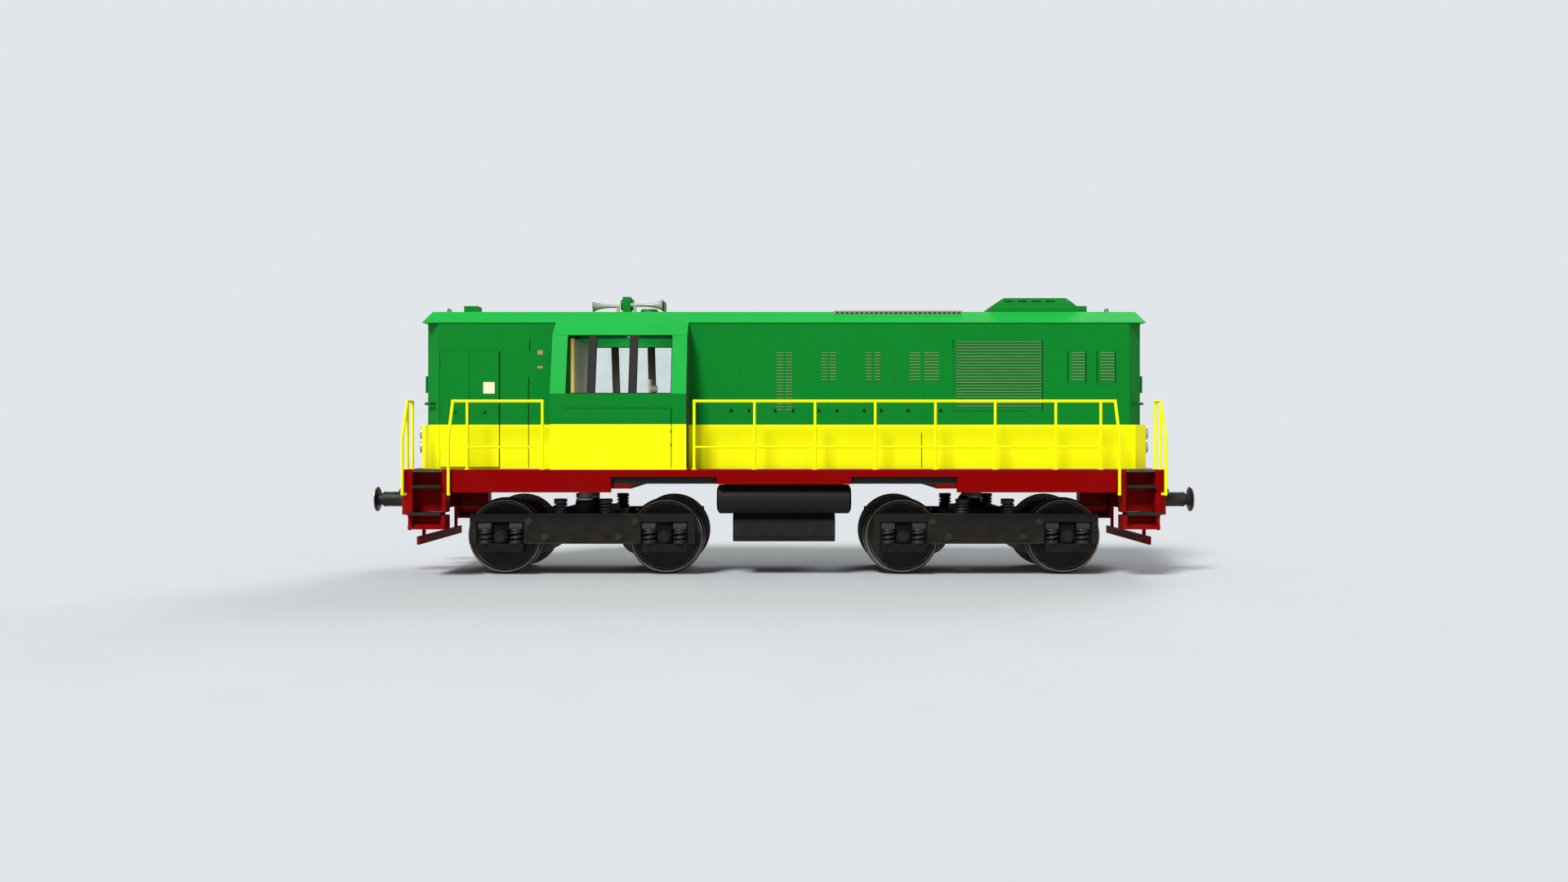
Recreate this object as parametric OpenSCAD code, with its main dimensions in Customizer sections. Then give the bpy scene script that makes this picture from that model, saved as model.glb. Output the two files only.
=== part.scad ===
// Bogie diesel locomotive with a cab between a long and a short hood.
// X runs along the track with the long hood at +X, Y across, Z up.
// The origin is midway between the buffers, where the wheel flanges touch the floor.

/* [Body] */
// Length over the buffers
length_over_buffers = 13600; // [13500:10:13700]
// Half of the width over the cab and the side sills
half_w = 1530; // [1500:5:1560]
// Height of the deck above the lowest point of the wheel flanges
deck_z = 1765; // [1755:1:1775]
// Half of the width over the hood walls
hood_half_w = 985; // [950:5:1000]
// Height of the eave line of hoods and cab
eave_z = 4200; // [4190:1:4220]
// Height of the flat roof
roof_z = 4400; // [4380:5:4450]

/* [Running gear] */
// Distance from the middle of the locomotive to a bogie's pivot
pivot_x = 3317; // [3300:1:3330]
// Distance between the two axles of a bogie
wheelbase = 2700; // [2680:10:2720]
// Radius over the wheel flange
flange_r = 642; // [636:1:646]
// Radius of the wheel tread
tread_r = 612; // [606:1:616]

/* [Doors] */
// Width of one leaf of the short hood's doors
leaf_w = 484; // [440:1:486]
// Width of a cab door
cab_door_w = 430; // [400:5:432]

/* [Hidden] */
$fn = 48;

// Colours
red = "#9b0a08";
dark_red = "#7a0605";
green = "#128c30";
light_green = "#26c651";
yellow = "#fdf616";
black_grey = "#282521";
steel = "#57544f";
tread_grey = "#33312e";
chrome_steel = "#b8b2a8";
locker_orange = "#f2b85a";
seat_grey = "#2c2e33";

gap = 5; // clearance round the moving pieces
running = 0.08; // radial clearance of a shaft in its bearing
joint_gap = 1; // between butted plates
plate_t = 20;
tread_t = 46;

// Underframe heights and stations, from the middle outwards
sill_in = half_w - 90;
sill_top_band = deck_z - 114;
sill_mid_z = 1528;
sill_end_z = 1396;
sill_mid_x = 1085;
sill_end_x0 = 2800;
deck_t = 40;
under_deck = deck_z - deck_t;
bolster_z = 1453;
bolster_half = 835;
beam_z = 1512;
beam_y0 = 640;
beam_y1 = 760;
pin_r = 110;
pin_depth = 180;

// Ends: step wells, headstocks, buffers
well_x0 = 5525;
post_x0 = 5460;
headstock_x0 = 6000;
headstock_x1 = 6211;
headstock_corner = 170;
headstock_z = 1034;
well_y = 1310;
buffer_y = 875;
buffer_z = 1259;
buffer_x = length_over_buffers / 2;
hook_t = 70;
hook_slot = 90;
hook_eye_x = headstock_x1 + 150;
hook_eye_r = 38;

// Hoods
wall_t = 40;
hood_end = 5980;
hood_chamfer = 245;
nose_end = 6078;
band_z = 2498;
roof_half = 700;
roof_end = 6000;

// Cab
cab_x0 = -3785;
cab_x1 = -1582;
cab_sill_z = 2992;
cab_head_z = 3962;
cab_head_y = 1290;
window_sill_z = cab_sill_z + 0.5;
window_x0 = -3534;
window_x1 = -1820;
post_w = 115;
post_x = [-3120, -2450];
ceiling_z = 4113;
glass_t = 8;
cab_door_t = 35;
cab_door_y0 = 1050;
cab_door_y1 = cab_door_y0 + cab_door_w;
cab_door_z0 = deck_z + gap;
cab_door_top = 3720;
cab_door_lap = 25;

// Short hood doors: x of the two outer seams, with the meeting seam between them
leaf_t = 25;
leaf_seam = -5215;
leaf_z0 = 1800;
leaf_z1 = 3717;
leaf_lap = 25;

// Bogie
axle_dx = wheelbase / 2;
axle_z = flange_r;
side_y0 = 1090;
side_y1 = 1180;
side_z0 = 536;
side_z1 = 1032;
side_half = 1850;
window_half = 390;
window_z = 898;
transom_top = 1110;
arm_top = 1010;
damper_y = 880;
spring_seat_y = 1065;
spring_seat_x = 375;
secondary_r = 114;
secondary_wire = 20;
secondary_top = 1274;
primary_y = 1090;
primary_r = 115;
box_face_y = 1125;
primary_x = 250;
journal_r = 70;
axle_r = 95;

// Radiator grille opening in the long hood
grille_x0 = 2817;
grille_x1 = 4280;
grille_z0 = 2715;
grille_z1 = 3907;
slat_pitch = 48.4;
grille_start_x = 837;
grille_end_x = 2998;
lifting_x = [-5664, 5456];
lifting_y = 580;
lifting_t = 40;
lifting_r = 16;
lifting_up = 34;
horn_y = -150;
horn_z = 4575;
fan_x = 4237;
fan_r = 480;

// A box between two corners
module box(x0, x1, y0, y1, z0, z1) {
    translate([x0, y0, z0]) cube([x1 - x0, y1 - y0, z1 - z0]);
}

// The children at their place and mirrored across the track
module both_sides() {
    children();
    mirror([0, 1, 0]) children();
}

// The children at their place and mirrored end for end
module both_ends() {
    children();
    mirror([1, 0, 0]) children();
}

module all_corners() {
    both_ends() both_sides() children();
}

// A round bar between two points
module bar(a, b, r) {
    d = b - a;
    len = norm(d);
    translate(a)
        rotate([0, acos(d[2] / len), atan2(d[1], d[0])])
            cylinder(r = r, h = len);
}

// A railing of round bar through a list of points, with a weld knuckle at each bend
module bent_bar(points, r) {
    for (i = [0 : len(points) - 2]) bar(points[i], points[i + 1], r);
    for (i = [1 : len(points) - 2]) translate(points[i]) sphere(r = r * 1.12, $fn = 32);
}

// A cylinder along Y from y0 to y1
module y_cylinder(r, y0, y1) {
    translate([0, y1, 0]) rotate([90, 0, 0]) cylinder(r = r, h = y1 - y0);
}

// A cylinder along X from x0 to x1
module x_cylinder(r, x0, x1) {
    translate([x0, 0, 0]) rotate([0, 90, 0]) cylinder(r = r, h = x1 - x0);
}

// A prism along X of a half profile in Y and Z, mirrored across the track
module x_prism(x0, x1, half_profile) {
    n = len(half_profile);
    mirrored = [for (i = [n - 1 : -1 : 0]) [-half_profile[i][0], half_profile[i][1]]];
    translate([x0, 0, 0]) rotate([90, 0, 90])
        linear_extrude(x1 - x0) polygon(concat(half_profile, mirrored));
}

// ---- Underframe ----

// Side sills, deep in the middle and over the bogies
module side_sills() {
    color(red) both_sides() {
        box(-post_x0, post_x0, sill_in, half_w, sill_top_band, deck_z);
        box(-sill_mid_x, sill_mid_x, sill_in, half_w, sill_mid_z, sill_top_band + 1);
        both_ends() box(sill_end_x0, post_x0, sill_in, half_w, sill_end_z, sill_top_band + 1);
    }
}

// The plan of the box behind the headstock plate, its outer corners rounded
module headstock_plan() {
    r = headstock_corner;
    x1 = headstock_x1;
    translate([headstock_x0, -half_w + r]) square([x1 - headstock_x0, 2 * (half_w - r)]);
    intersection() {
        for (s = [-1, 1]) translate([x1 - r, s * (half_w - r)]) circle(r = r);
        translate([headstock_x0, -half_w]) square([x1 - headstock_x0, 2 * half_w]);
    }
    translate([headstock_x0, -half_w]) square([x1 - headstock_x0 - r, 2 * half_w]);
}

module headstocks() {
    color(red) both_ends() difference() {
        translate([0, 0, headstock_z]) linear_extrude(deck_z - headstock_z) headstock_plan();
        // slot for the draw hook's bar
        box(headstock_x0 - 1, headstock_x1 + 1, -hook_slot / 2, hook_slot / 2, buffer_z - 60, buffer_z + 60);
    }
}

// Bolsters over the bogies, joined by two long beams and cross beams
module frame_beams() {
    inner = sill_in - joint_gap;
    color(dark_red) difference() {
        union() {
            both_ends() box(pivot_x - bolster_half, pivot_x + bolster_half, -inner, inner, bolster_z, under_deck);
            both_sides() box(-headstock_x0 + joint_gap, headstock_x0 - joint_gap, beam_y0, beam_y1, beam_z, under_deck);
            for (x = [-1500, 0, 1500]) box(x - 60, x + 60, -inner, inner, beam_z + 60, under_deck);
            // ducts behind the sills' recesses
            all_corners() box(sill_mid_x + joint_gap, sill_end_x0 - 100, inner - 110, inner, sill_mid_z + 4, under_deck);
        }
        both_ends() translate([pivot_x, 0, bolster_z - 1]) cylinder(r = pin_r + running, h = pin_depth + 2);
    }
}

module deck() {
    inner = well_y - plate_t;
    color(tread_grey) {
        box(-headstock_x0, headstock_x0, -inner, inner, under_deck, deck_z);
        both_sides() box(-post_x0, post_x0, inner - 1, sill_in, under_deck, deck_z);
        all_corners() box(well_x0, headstock_x0, inner - 1, half_w, under_deck, deck_z);
    }
}

// One corner's steps: a well with two treads and a box step below.
// Its plates stand a hair apart, as butted plates do.
module corner_steps() {
    reach = 70;
    tread_reach = reach + 40;
    x0 = well_x0 + joint_gap;
    x1 = headstock_x0 - joint_gap;
    floor_z = 840;
    box_top = 1027;
    color(tread_grey) {
        box(x0, x1, well_y + joint_gap, half_w + reach, 1469, 1469 + tread_t);
        box(x0, x1, well_y + joint_gap, half_w + tread_reach, 1074 - tread_t, 1074);
        box(x1 - 1, x1 + 54, half_w + joint_gap, half_w + tread_reach, 1074 - tread_t, 1074);
    }
    color(red) {
        // well: cheek towards the middle, and back
        box(post_x0 + joint_gap, well_x0, well_y - plate_t, half_w, 1075, deck_z);
        box(x0, x1, well_y - plate_t, well_y, 1075, under_deck - joint_gap);
        // box step: floor, two cheeks and a sloping back
        box(x0, headstock_x0 - joint_gap, well_y, half_w + reach, 803, floor_z);
        box(post_x0 + joint_gap, well_x0, well_y - plate_t, half_w + reach, 803, box_top);
        box(headstock_x0, headstock_x0 + 50, well_y - plate_t, half_w + reach, 803, box_top);
        translate([x0, 0, 0]) rotate([90, 0, 90]) linear_extrude(x1 - x0)
            polygon([
                [well_y + 5, box_top], [well_y + 25, box_top],
                [half_w + 20, floor_z + joint_gap], [half_w, floor_z + joint_gap]
            ]);
    }
}

module steps() {
    all_corners() corner_steps();
}

module rail_guards() {
    x1 = headstock_x0 - joint_gap;
    color(red) both_ends() {
        box(x1 - 46, x1, -1300, 1300, 533, 666);
        // straps bolted to the headstock's back
        both_sides() box(x1 - 46, x1, 950, 1010, 666, headstock_z + 200);
    }
}

module buffers() {
    all_corners() translate([0, buffer_y, buffer_z]) {
        color(black_grey) {
            x_cylinder(150, headstock_x1, headstock_x1 + 25);
            x_cylinder(121, headstock_x1 + 25, buffer_x - 125);
        }
        color(steel) {
            x_cylinder(102, buffer_x - 125, buffer_x - 35);
            x_cylinder(130, buffer_x - 35, buffer_x - 20);
            x_cylinder(204, buffer_x - 20, buffer_x);
        }
    }
}

// A draw hook with an open eye for a coupling's pin behind its jaw
module draw_gear() {
    color(black_grey) both_ends() {
        difference() {
            union() {
                box(headstock_x0, headstock_x1 + 240, -hook_t / 2, hook_t / 2, buffer_z - 50, buffer_z + 50);
                translate([hook_eye_x, 0, buffer_z]) y_cylinder(75, -hook_t / 2, hook_t / 2);
                translate([headstock_x1 + 340, 0, buffer_z + 50]) y_cylinder(150, -hook_t / 2, hook_t / 2);
            }
            translate([hook_eye_x, 0, buffer_z]) y_cylinder(hook_eye_r, -50, 50);
            translate([headstock_x1 + 335, 0, buffer_z + 95]) y_cylinder(68, -50, 50);
            box(headstock_x1 + 267, headstock_x1 + 403, -50, 50, buffer_z + 95, buffer_z + 260);
        }
        box(headstock_x1, headstock_x1 + 30, -160, 160, buffer_z - 130, buffer_z + 130);
    }
}

// ---- Railings ----
rail_y = 1450;
foot_y = 1580;
rail_z = 2873;
mid_rail_z = 2127;
rail_r = 24;
mid_r = 16;
foot_z = 1370;
kink_z = 2270;
// posts of the long side railing, with the corner post at the cab left to the bent bar
long_posts = [-478, 504, 1480, 2456, 3425, 4407, 5137];

module side_rail(x_end, posts, mid_end) {
    bent_bar([
        [x_end, rail_y, deck_z], [x_end, rail_y, rail_z], [5370, rail_y, rail_z],
        [5406, foot_y, kink_z], [5406, foot_y, foot_z], [5406, half_w, foot_z]
    ], rail_r);
    for (x = posts) bar([x, rail_y, deck_z], [x, rail_y, rail_z], rail_r - 2);
    bar([x_end, rail_y, mid_rail_z], [mid_end, rail_y, mid_rail_z], mid_r);
}

module side_railings() {
    color(yellow) both_sides() {
        side_rail(-1456, long_posts, 5137);
        mirror([1, 0, 0]) side_rail(3916, [5137], 5137);
    }
}

module end_railings() {
    color(yellow) all_corners() {
        bent_bar([
            [6110, half_w - 12, foot_z], [6149, foot_y, foot_z], [6149, foot_y, kink_z],
            [6120, rail_y - 50, rail_z], [6120, rail_y - 320, rail_z], [6120, rail_y - 320, deck_z]
        ], rail_r);
        bar([6120, rail_y - 50, deck_z], [6120, rail_y - 50, rail_z], rail_r);
    }
}

// ---- Tanks ----

module fuel_tank() {
    color(black_grey) x_prism(-840, 840, [
        [1100, 571], [1200, 671], [1200, 913], [1100, 1034], [930, 1034], [930, beam_z]
    ]);
}

module air_reservoirs() {
    color(black_grey) both_sides() translate([0, 1195, 1276]) {
        x_cylinder(237, -1060, 1060);
        both_ends() translate([1060, 0, 0]) rotate([0, 90, 0])
            cylinder(r1 = 237, r2 = 180, h = 36);
        for (x = [-700, 700]) box(x - 30, x + 30, -60, 60, 225, sill_mid_z - 1276);
    }
}

// ---- Hoods ----

// The plan of a hood's end part with its corners cut off
module hood_plan(x0, x1, w, cut) {
    polygon([[x0, -w], [x1 - cut, -w], [x1, -w + cut], [x1, w - cut], [x1 - cut, w], [x0, w]]);
}

// The bevelled roof over the hood between two stations
module hood_roof(x0, x1) {
    difference() {
        intersection() {
            x_prism(x0, x1, [[1000, eave_z - 12], [1000, eave_z], [roof_half, roof_z]]);
            // end bevel
            translate([0, 1100, 0]) rotate([90, 0, 0]) linear_extrude(2200) polygon([
                [x0 - 1, eave_z - 20], [x1, eave_z - 20], [x1, eave_z], [x1 - 90, roof_z],
                [x1 - 90, roof_z + 20], [x0 - 1, roof_z + 20]
            ]);
        }
        x_prism(x0 + wall_t, x1 - 150, [[900, eave_z - 13], [900, eave_z], [660, roof_z - wall_t]]);
    }
}

// A hood from the cab wall at x0 outwards, before its openings are cut
module hood_body(x0) {
    difference() {
        union() {
            translate([0, 0, deck_z]) linear_extrude(eave_z - 12 - deck_z)
                hood_plan(x0, hood_end, hood_half_w, hood_chamfer);
            translate([0, 0, deck_z]) linear_extrude(band_z - deck_z)
                hood_plan(x0, nose_end, hood_half_w, hood_chamfer);
        }
        translate([0, 0, deck_z - 1]) linear_extrude(eave_z - deck_z)
            hood_plan(x0 + wall_t, hood_end - wall_t, hood_half_w - wall_t, hood_chamfer);
    }
}

module long_hood() {
    color(green) {
        difference() {
            hood_body(cab_x1);
            both_sides() box(grille_x0, grille_x1, hood_half_w - wall_t - 1, hood_half_w + 1,
                grille_z0, grille_z1);
        }
    }
    color(light_green) difference() {
        hood_roof(cab_x1, roof_end);
        translate([fan_x, 0, roof_z - 60]) cylinder(r = fan_r + 20, h = 80);
    }
}

module short_hood() {
    x0 = leaf_seam - leaf_w + leaf_lap;
    x1 = leaf_seam + leaf_w - leaf_lap;
    color(green) difference() {
        mirror([1, 0, 0]) hood_body(-cab_x0);
        both_sides() box(x0, x1, hood_half_w - wall_t - 1, hood_half_w + 1,
            leaf_z0 + leaf_lap, leaf_z1 - leaf_lap);
    }
    color(light_green) mirror([1, 0, 0]) hood_roof(-cab_x0, roof_end);
}

// One leaf of a short hood door, lying 5 mm off the hood wall.
// side is -1 on the right of the track axis and 1 on the left; towards is the side of the seam.
module hood_leaf(side, towards) {
    x = leaf_seam + (towards > 0 ? 3 : -3 - leaf_w);
    y0 = hood_half_w + gap;
    handle_x = leaf_seam + towards * 245;
    mirror([0, side < 0 ? 1 : 0, 0]) {
        color(green) {
            box(x, x + leaf_w, y0, y0 + leaf_t, leaf_z0, leaf_z1);
            hinge_x = towards > 0 ? x + leaf_w - 6 : x + 6;
            for (z = [leaf_z0 + 200, (leaf_z0 + leaf_z1) / 2, leaf_z1 - 200])
                translate([hinge_x, y0 + leaf_t, z - 45]) cylinder(r = 6, h = 90);
        }
        color(black_grey) box(handle_x - 20, handle_x + 20, y0 + leaf_t, y0 + leaf_t + 30, 2701, 2741);
    }
}

// Thick panels over the radiators, with a row of pressed slots
module radiator_grilles() {
    frame = 30;
    slot_h = 8;
    slot_deep = 22;
    first_slot = grille_z0 + 84;
    rows = 23;
    y1 = hood_half_w;
    color(green) both_sides() difference() {
        box(grille_x0, grille_x1, y1 - wall_t, y1, grille_z0, grille_z1);
        for (i = [0 : rows - 1]) translate([0, 0, first_slot + i * slat_pitch])
            box(grille_x0 + frame, grille_x1 - frame, y1 - slot_deep, y1 + 1, 0, slot_h);
    }
}

// Raised cowl over the radiator fan: each row is height, inset at the ends and half width
cowl_layers = [[0, 0, 640], [70, 0, 640], [178, 130, 625], [245, 224, 605]];

module fan_cowl() {
    x0 = 3488;
    x1 = 4987;
    color(green) {
        difference() {
            hull() for (layer = cowl_layers)
                box(x0 + layer[1], x1 - layer[1], -layer[2], layer[2], roof_z, roof_z + max(layer[0], 1));
            translate([fan_x, 0, roof_z - 1]) cylinder(r = fan_r + 20, h = 400);
        }
        box(x1, x1 + 180, -420, 420, roof_z, roof_z + 130);
    }
}

module radiator_fan() {
    blades = 8;
    z0 = roof_z + 60;
    color(black_grey) {
        translate([fan_x, 0, z0]) {
            cylinder(r = 110, h = 120);
            for (i = [0 : blades - 1]) rotate([0, 0, i * 360 / blades])
                translate([90, 0, 60]) rotate([28, 0, 0]) translate([0, -75, -5])
                    cube([fan_r - 115, 150, 10]);
        }
    }
}

// ---- Cab ----

// Outline of half the cab: upright to the window sill, leaning in above it
function cab_half(t) = [
    [half_w - t, deck_z], [half_w - t, cab_sill_z], [cab_head_y - t, cab_head_z]
];

module cab_shell() {
    color(green) difference() {
        x_prism(cab_x0, cab_x1, cab_half(0));
        x_prism(cab_x0 + wall_t, cab_x1 - wall_t, [
            [half_w - wall_t, deck_z - 2], [half_w - wall_t, cab_sill_z],
            [cab_head_y - wall_t, cab_head_z], [cab_head_y - wall_t, cab_head_z + 5]
        ]);
        // side windows, open up to the roof's edge
        both_sides() box(window_x0, window_x1, cab_head_y - 80, half_w + 1, window_sill_z, cab_head_z + 1);
        // doorways in opposite corners, and a fixed window in each of the other two
        end_opening(cab_x1 - wall_t - 1, -1, wall_t + 2) door_outline(cab_door_lap);
        end_opening(cab_x0 - 1, 1, wall_t + 2) door_outline(cab_door_lap);
        end_opening(cab_x1 - wall_t - 1, 1, wall_t + 2) window_outline(cab_door_lap);
        end_opening(cab_x0 - 1, -1, wall_t + 2) window_outline(cab_door_lap);
    }
}

// The outline of a cab door, drawn in by inset; its outer edge follows the leaning wall
module door_outline(inset) {
    top_y = cab_door_y1 - 200;
    polygon([
        [cab_door_y0 + inset, cab_door_z0 + 5 + inset], [cab_door_y1 - inset, cab_door_z0 + 5 + inset],
        [cab_door_y1 - inset, 2940], [top_y - inset, cab_door_top - inset],
        [cab_door_y0 + inset, cab_door_top - inset]
    ]);
}

// The upper part of that outline, for the windows
module window_outline(inset) {
    intersection() {
        door_outline(inset);
        translate([0, cab_sill_z + inset]) square([3000, 2000]);
    }
}

// Its flat child raised by t from x, in the end walls' plane; side is 1 on the left
module end_opening(x, side, t) {
    mirror([0, side < 0 ? 1 : 0, 0]) translate([x, 0, 0]) rotate([90, 0, 90])
        linear_extrude(t) children();
}

// A cab door lying 5 mm inside the end wall; its window is cut and glazed
module cab_door(x, side, handle_x) {
    color(green) end_opening(x, side, cab_door_t) difference() {
        door_outline(0);
        window_outline(75);
    }
    color("lightblue") end_opening(x + (cab_door_t - glass_t) / 2, side, glass_t) window_outline(74);
    color(chrome_steel) mirror([0, side < 0 ? 1 : 0, 0]) {
        box(handle_x, handle_x + 30, cab_door_y1 - 70, cab_door_y1 - 54, 2700, 2810);
        for (z = [2000, 2800, 3500]) translate([x + cab_door_t / 2, cab_door_y0, z]) cylinder(r = 14, h = 100);
    }
}

module cab_door_front() {
    x = cab_x1 - wall_t - gap - cab_door_t;
    cab_door(x, -1, x - 30);
}

module cab_door_rear() {
    x = cab_x0 + wall_t + gap;
    cab_door(x, 1, x + cab_door_t);
}

module cab_roof() {
    color(light_green) difference() {
        x_prism(cab_x0, cab_x1, [[cab_head_y, cab_head_z], [1000, eave_z], [roof_half, roof_z]]);
        x_prism(cab_x0 + wall_t, cab_x1 - wall_t, [
            [cab_head_y - wall_t - 10, cab_head_z - 1], [cab_head_y - 235, ceiling_z]
        ]);
    }
}

// Dark posts that divide each side window in three, following the wall's lean
module cab_window_posts() {
    color(black_grey) both_sides() for (x = post_x)
        translate([x - post_w / 2, 0, 0]) rotate([90, 0, 90]) linear_extrude(post_w) polygon([
            [half_w - 4, window_sill_z], [half_w - 38, window_sill_z],
            [cab_head_y - 38, cab_head_z], [cab_head_y - 4, cab_head_z]
        ]);
}

module cab_glass() {
    edges = [window_x0, post_x[0], post_x[1], window_x1];
    color("lightblue") {
        both_sides() for (i = [0 : 2]) {
            x0 = edges[i] + (i > 0 ? post_w / 2 : 0);
            x1 = edges[i + 1] - (i < 2 ? post_w / 2 : 0);
            translate([x0, 0, 0]) rotate([90, 0, 90]) linear_extrude(x1 - x0) polygon([
                [half_w - 20, window_sill_z], [half_w - 20 - glass_t, window_sill_z],
                [cab_head_y - 20 - glass_t, cab_head_z], [cab_head_y - 20, cab_head_z]
            ]);
        }
        end_opening(cab_x1 - 24, 1, glass_t) window_outline(cab_door_lap);
        end_opening(cab_x0 + 16, -1, glass_t) window_outline(cab_door_lap);
    }
}

module control_desk() {
    color(steel) {
        // desk along the long hood's end of the cab
        translate([0, 700, 0]) rotate([90, 0, 0]) linear_extrude(1300) polygon([
            [-2320, 2600], [-2320, 2660], [-1880, 2800], [-1880, deck_z], [-2150, deck_z], [-2150, 2560]
        ]);
        // driver's brake stand
        translate([-2229, -870, deck_z]) cylinder(r = 46, h = 3251 - deck_z);
        translate([-2229, -870, 3095]) rotate([0, 90, 0]) cylinder(r = 60, h = 112);
    }
}

module driver_seats() {
    color(seat_grey) for (y = [-350, 450]) translate([-2800, y, deck_z]) {
        cylinder(r = 60, h = 420);
        cylinder(r = 180, h = 30);
        translate([-220, -230, 420]) cube([440, 460, 110]);
        translate([-300, -220, 420]) rotate([0, -8, 0]) cube([90, 440, 640]);
    }
}

// Orange lockers on the end walls between the doors
module wall_lockers() {
    color(locker_orange) {
        box(cab_x0 + wall_t, -3533, -700, 1000, deck_z, 3950);
        box(-1850, cab_x1 - wall_t, -950, 700, deck_z, 3950);
    }
}

module engine_block() {
    color(steel) box(-900, 2500, -450, 450, deck_z, 3400);
}

// ---- Fittings ----

module headlamps() {
    all_corners() for (z = [2357, 2124]) translate([0, 620, z]) {
        color(black_grey) x_cylinder(102, nose_end, nose_end + 40);
        color(chrome_steel) x_cylinder(88, nose_end + 40, nose_end + 52);
    }
    both_ends() translate([0, 0, 3165]) {
        color(green) x_cylinder(165, hood_end, hood_end + 24);
        color(chrome_steel) x_cylinder(135, hood_end + 24, hood_end + 30);
    }
}

// A trumpet horn on the X axis, its narrow end at x = 0 and its bell at x = length
module horn(length) {
    rotate([0, 90, 0]) rotate_extrude() polygon([
        [0, 0], [33, 0], [33, 40], [28, 50], [30, length - 300], [42, length - 170], [66, length - 70],
        [95, length - 15], [106, length], [96, length - 2], [0, length - 70]
    ]);
}

// Two horns facing away from each other, each on its own foot
module horns() {
    color(chrome_steel) translate([0, horn_y, 0]) {
        translate([-2645, 0, horn_z]) horn(550);
        translate([-2853, 0, horn_z - 20]) mirror([1, 0, 0]) horn(445);
        for (x = [-2600, -2890]) box(x, x + 45, -30, 30, roof_z, horn_z - 15);
    }
}

module roof_fittings() {
    color(green) {
        // cab ventilator with a round cap on each side
        box(-2801, -2661, -60, 160, roof_z, 4729);
        translate([0, 50, 4600]) {
            x_cylinder(95, -2840, -2801);
            x_cylinder(95, -2661, -2622);
        }
        // hatch and plate behind it
        translate([-2340, 0, roof_z]) cylinder(r1 = 200, r2 = 140, h = 110);
        box(-2085, -2065, -200, 200, roof_z, 4640);
        box(-5531, -5290, -150, 130, roof_z, 4560);
    }
    color(green) for (x = lifting_x) both_sides() difference() {
        union() {
            box(x - 33, x + 33, lifting_y - lifting_t / 2, lifting_y + lifting_t / 2, roof_z, roof_z + lifting_up);
            translate([x, lifting_y, roof_z + lifting_up]) y_cylinder(33, -lifting_t / 2, lifting_t / 2);
        }
        translate([x, lifting_y, roof_z + lifting_up]) y_cylinder(lifting_r, -50, 50);
    }
}

// Grating over the engine, its edges reaching down over the roof's bevel
module engine_roof_grille() {
    half = 748;
    rise = 14;
    bars = 14;
    pitch = (grille_end_x - grille_start_x - 60) / bars;
    color(locker_orange) difference() {
        x_prism(grille_start_x, grille_end_x, [
            [roof_half, roof_z + joint_gap], [half, roof_z - 29], [half, roof_z + rise]
        ]);
        for (i = [0 : bars - 1]) box(grille_start_x + 45 + i * pitch, grille_start_x + 15 + (i + 1) * pitch,
            -half + 60, half - 60, roof_z + 6, roof_z + rise + 1);
    }
}

// ---- Running gear ----

// The side plate with a window round each axle box
module bogie_side() {
    difference() {
        box(-side_half, side_half, side_y0, side_y1, side_z0, side_z1);
        for (x = [-axle_dx, axle_dx])
            box(x - window_half, x + window_half, side_y0 - 1, side_y1 + 1, side_z0 - 1, window_z);
    }
    for (x = [-axle_dx, axle_dx], s = [-1, 1]) translate([x + s * 255, 0, 0])
        rotate([90, 0, 90]) translate([0, 0, -112]) linear_extrude(224)
            polygon([[side_y0, window_z], [side_y1 - 40, window_z], [side_y1 - 4, 782], [side_y0, 782]]);
    for (p = [[475, 893], [740, 643]], s = [-1, 1])
        translate([s * (axle_dx - p[0]), 0, p[1]]) y_cylinder(60, side_y1 - 1, side_y1 + 12);
}

module bogie_frame(damper_side) {
    color(black_grey) {
        both_sides() bogie_side();
        box(-370, 370, -640, 640, 640, transom_top);
        box(-490, 490, -side_y0, side_y0, 760, arm_top);
        // seats of the springs between bogie and body
        for (x = [-1, 1], y = [-1, 1]) translate([x * spring_seat_x, y * spring_seat_y, arm_top - 1])
            cylinder(r = secondary_r, h = side_z1 - arm_top + 1);
        // centre pin, turning in the bolster above
        translate([0, 0, transom_top - 1]) cylinder(r = pin_r, h = bolster_z + pin_depth - transom_top);
        translate([0, 0, transom_top - 1]) cylinder(r = 240, h = 61);
        // side damper and bearer, one on each bogie
        translate([0, damper_side * damper_y, arm_top]) {
            cylinder(r = 160, h = 200);
            translate([0, 0, 200]) cylinder(r1 = 160, r2 = 128, h = 36);
        }
    }
    color(steel) translate([0, damper_side * damper_y, arm_top + 236]) {
        cylinder(r = 128, h = 24);
        cylinder(r = 105, h = bolster_z - gap - arm_top - 236);
    }
}

// A coil spring drawn as stacked rings on a thin core
module coil(r, wire, z0, z1, turns) {
    pitch = (z1 - z0 - 2 * wire) / (turns - 1);
    translate([0, 0, z0]) rotate_extrude() {
        square([r - 2 * wire + 4, z1 - z0]);
        for (i = [0 : turns - 1]) translate([r - wire, wire + i * pitch]) circle(r = wire, $fn = 24);
    }
}

module bogie_springs() {
    color(black_grey) {
        for (x = [-1, 1], y = [-1, 1])
            translate([x * spring_seat_x, y * spring_seat_y, 0]) coil(secondary_r, secondary_wire, side_z1, secondary_top, 5);
        for (x = [-1, 1], s = [-1, 1], y = [-1, 1])
            translate([x * axle_dx + s * primary_x, y * primary_y, 0]) coil(primary_r, 15, side_z0, 780, 5);
    }
}

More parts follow.
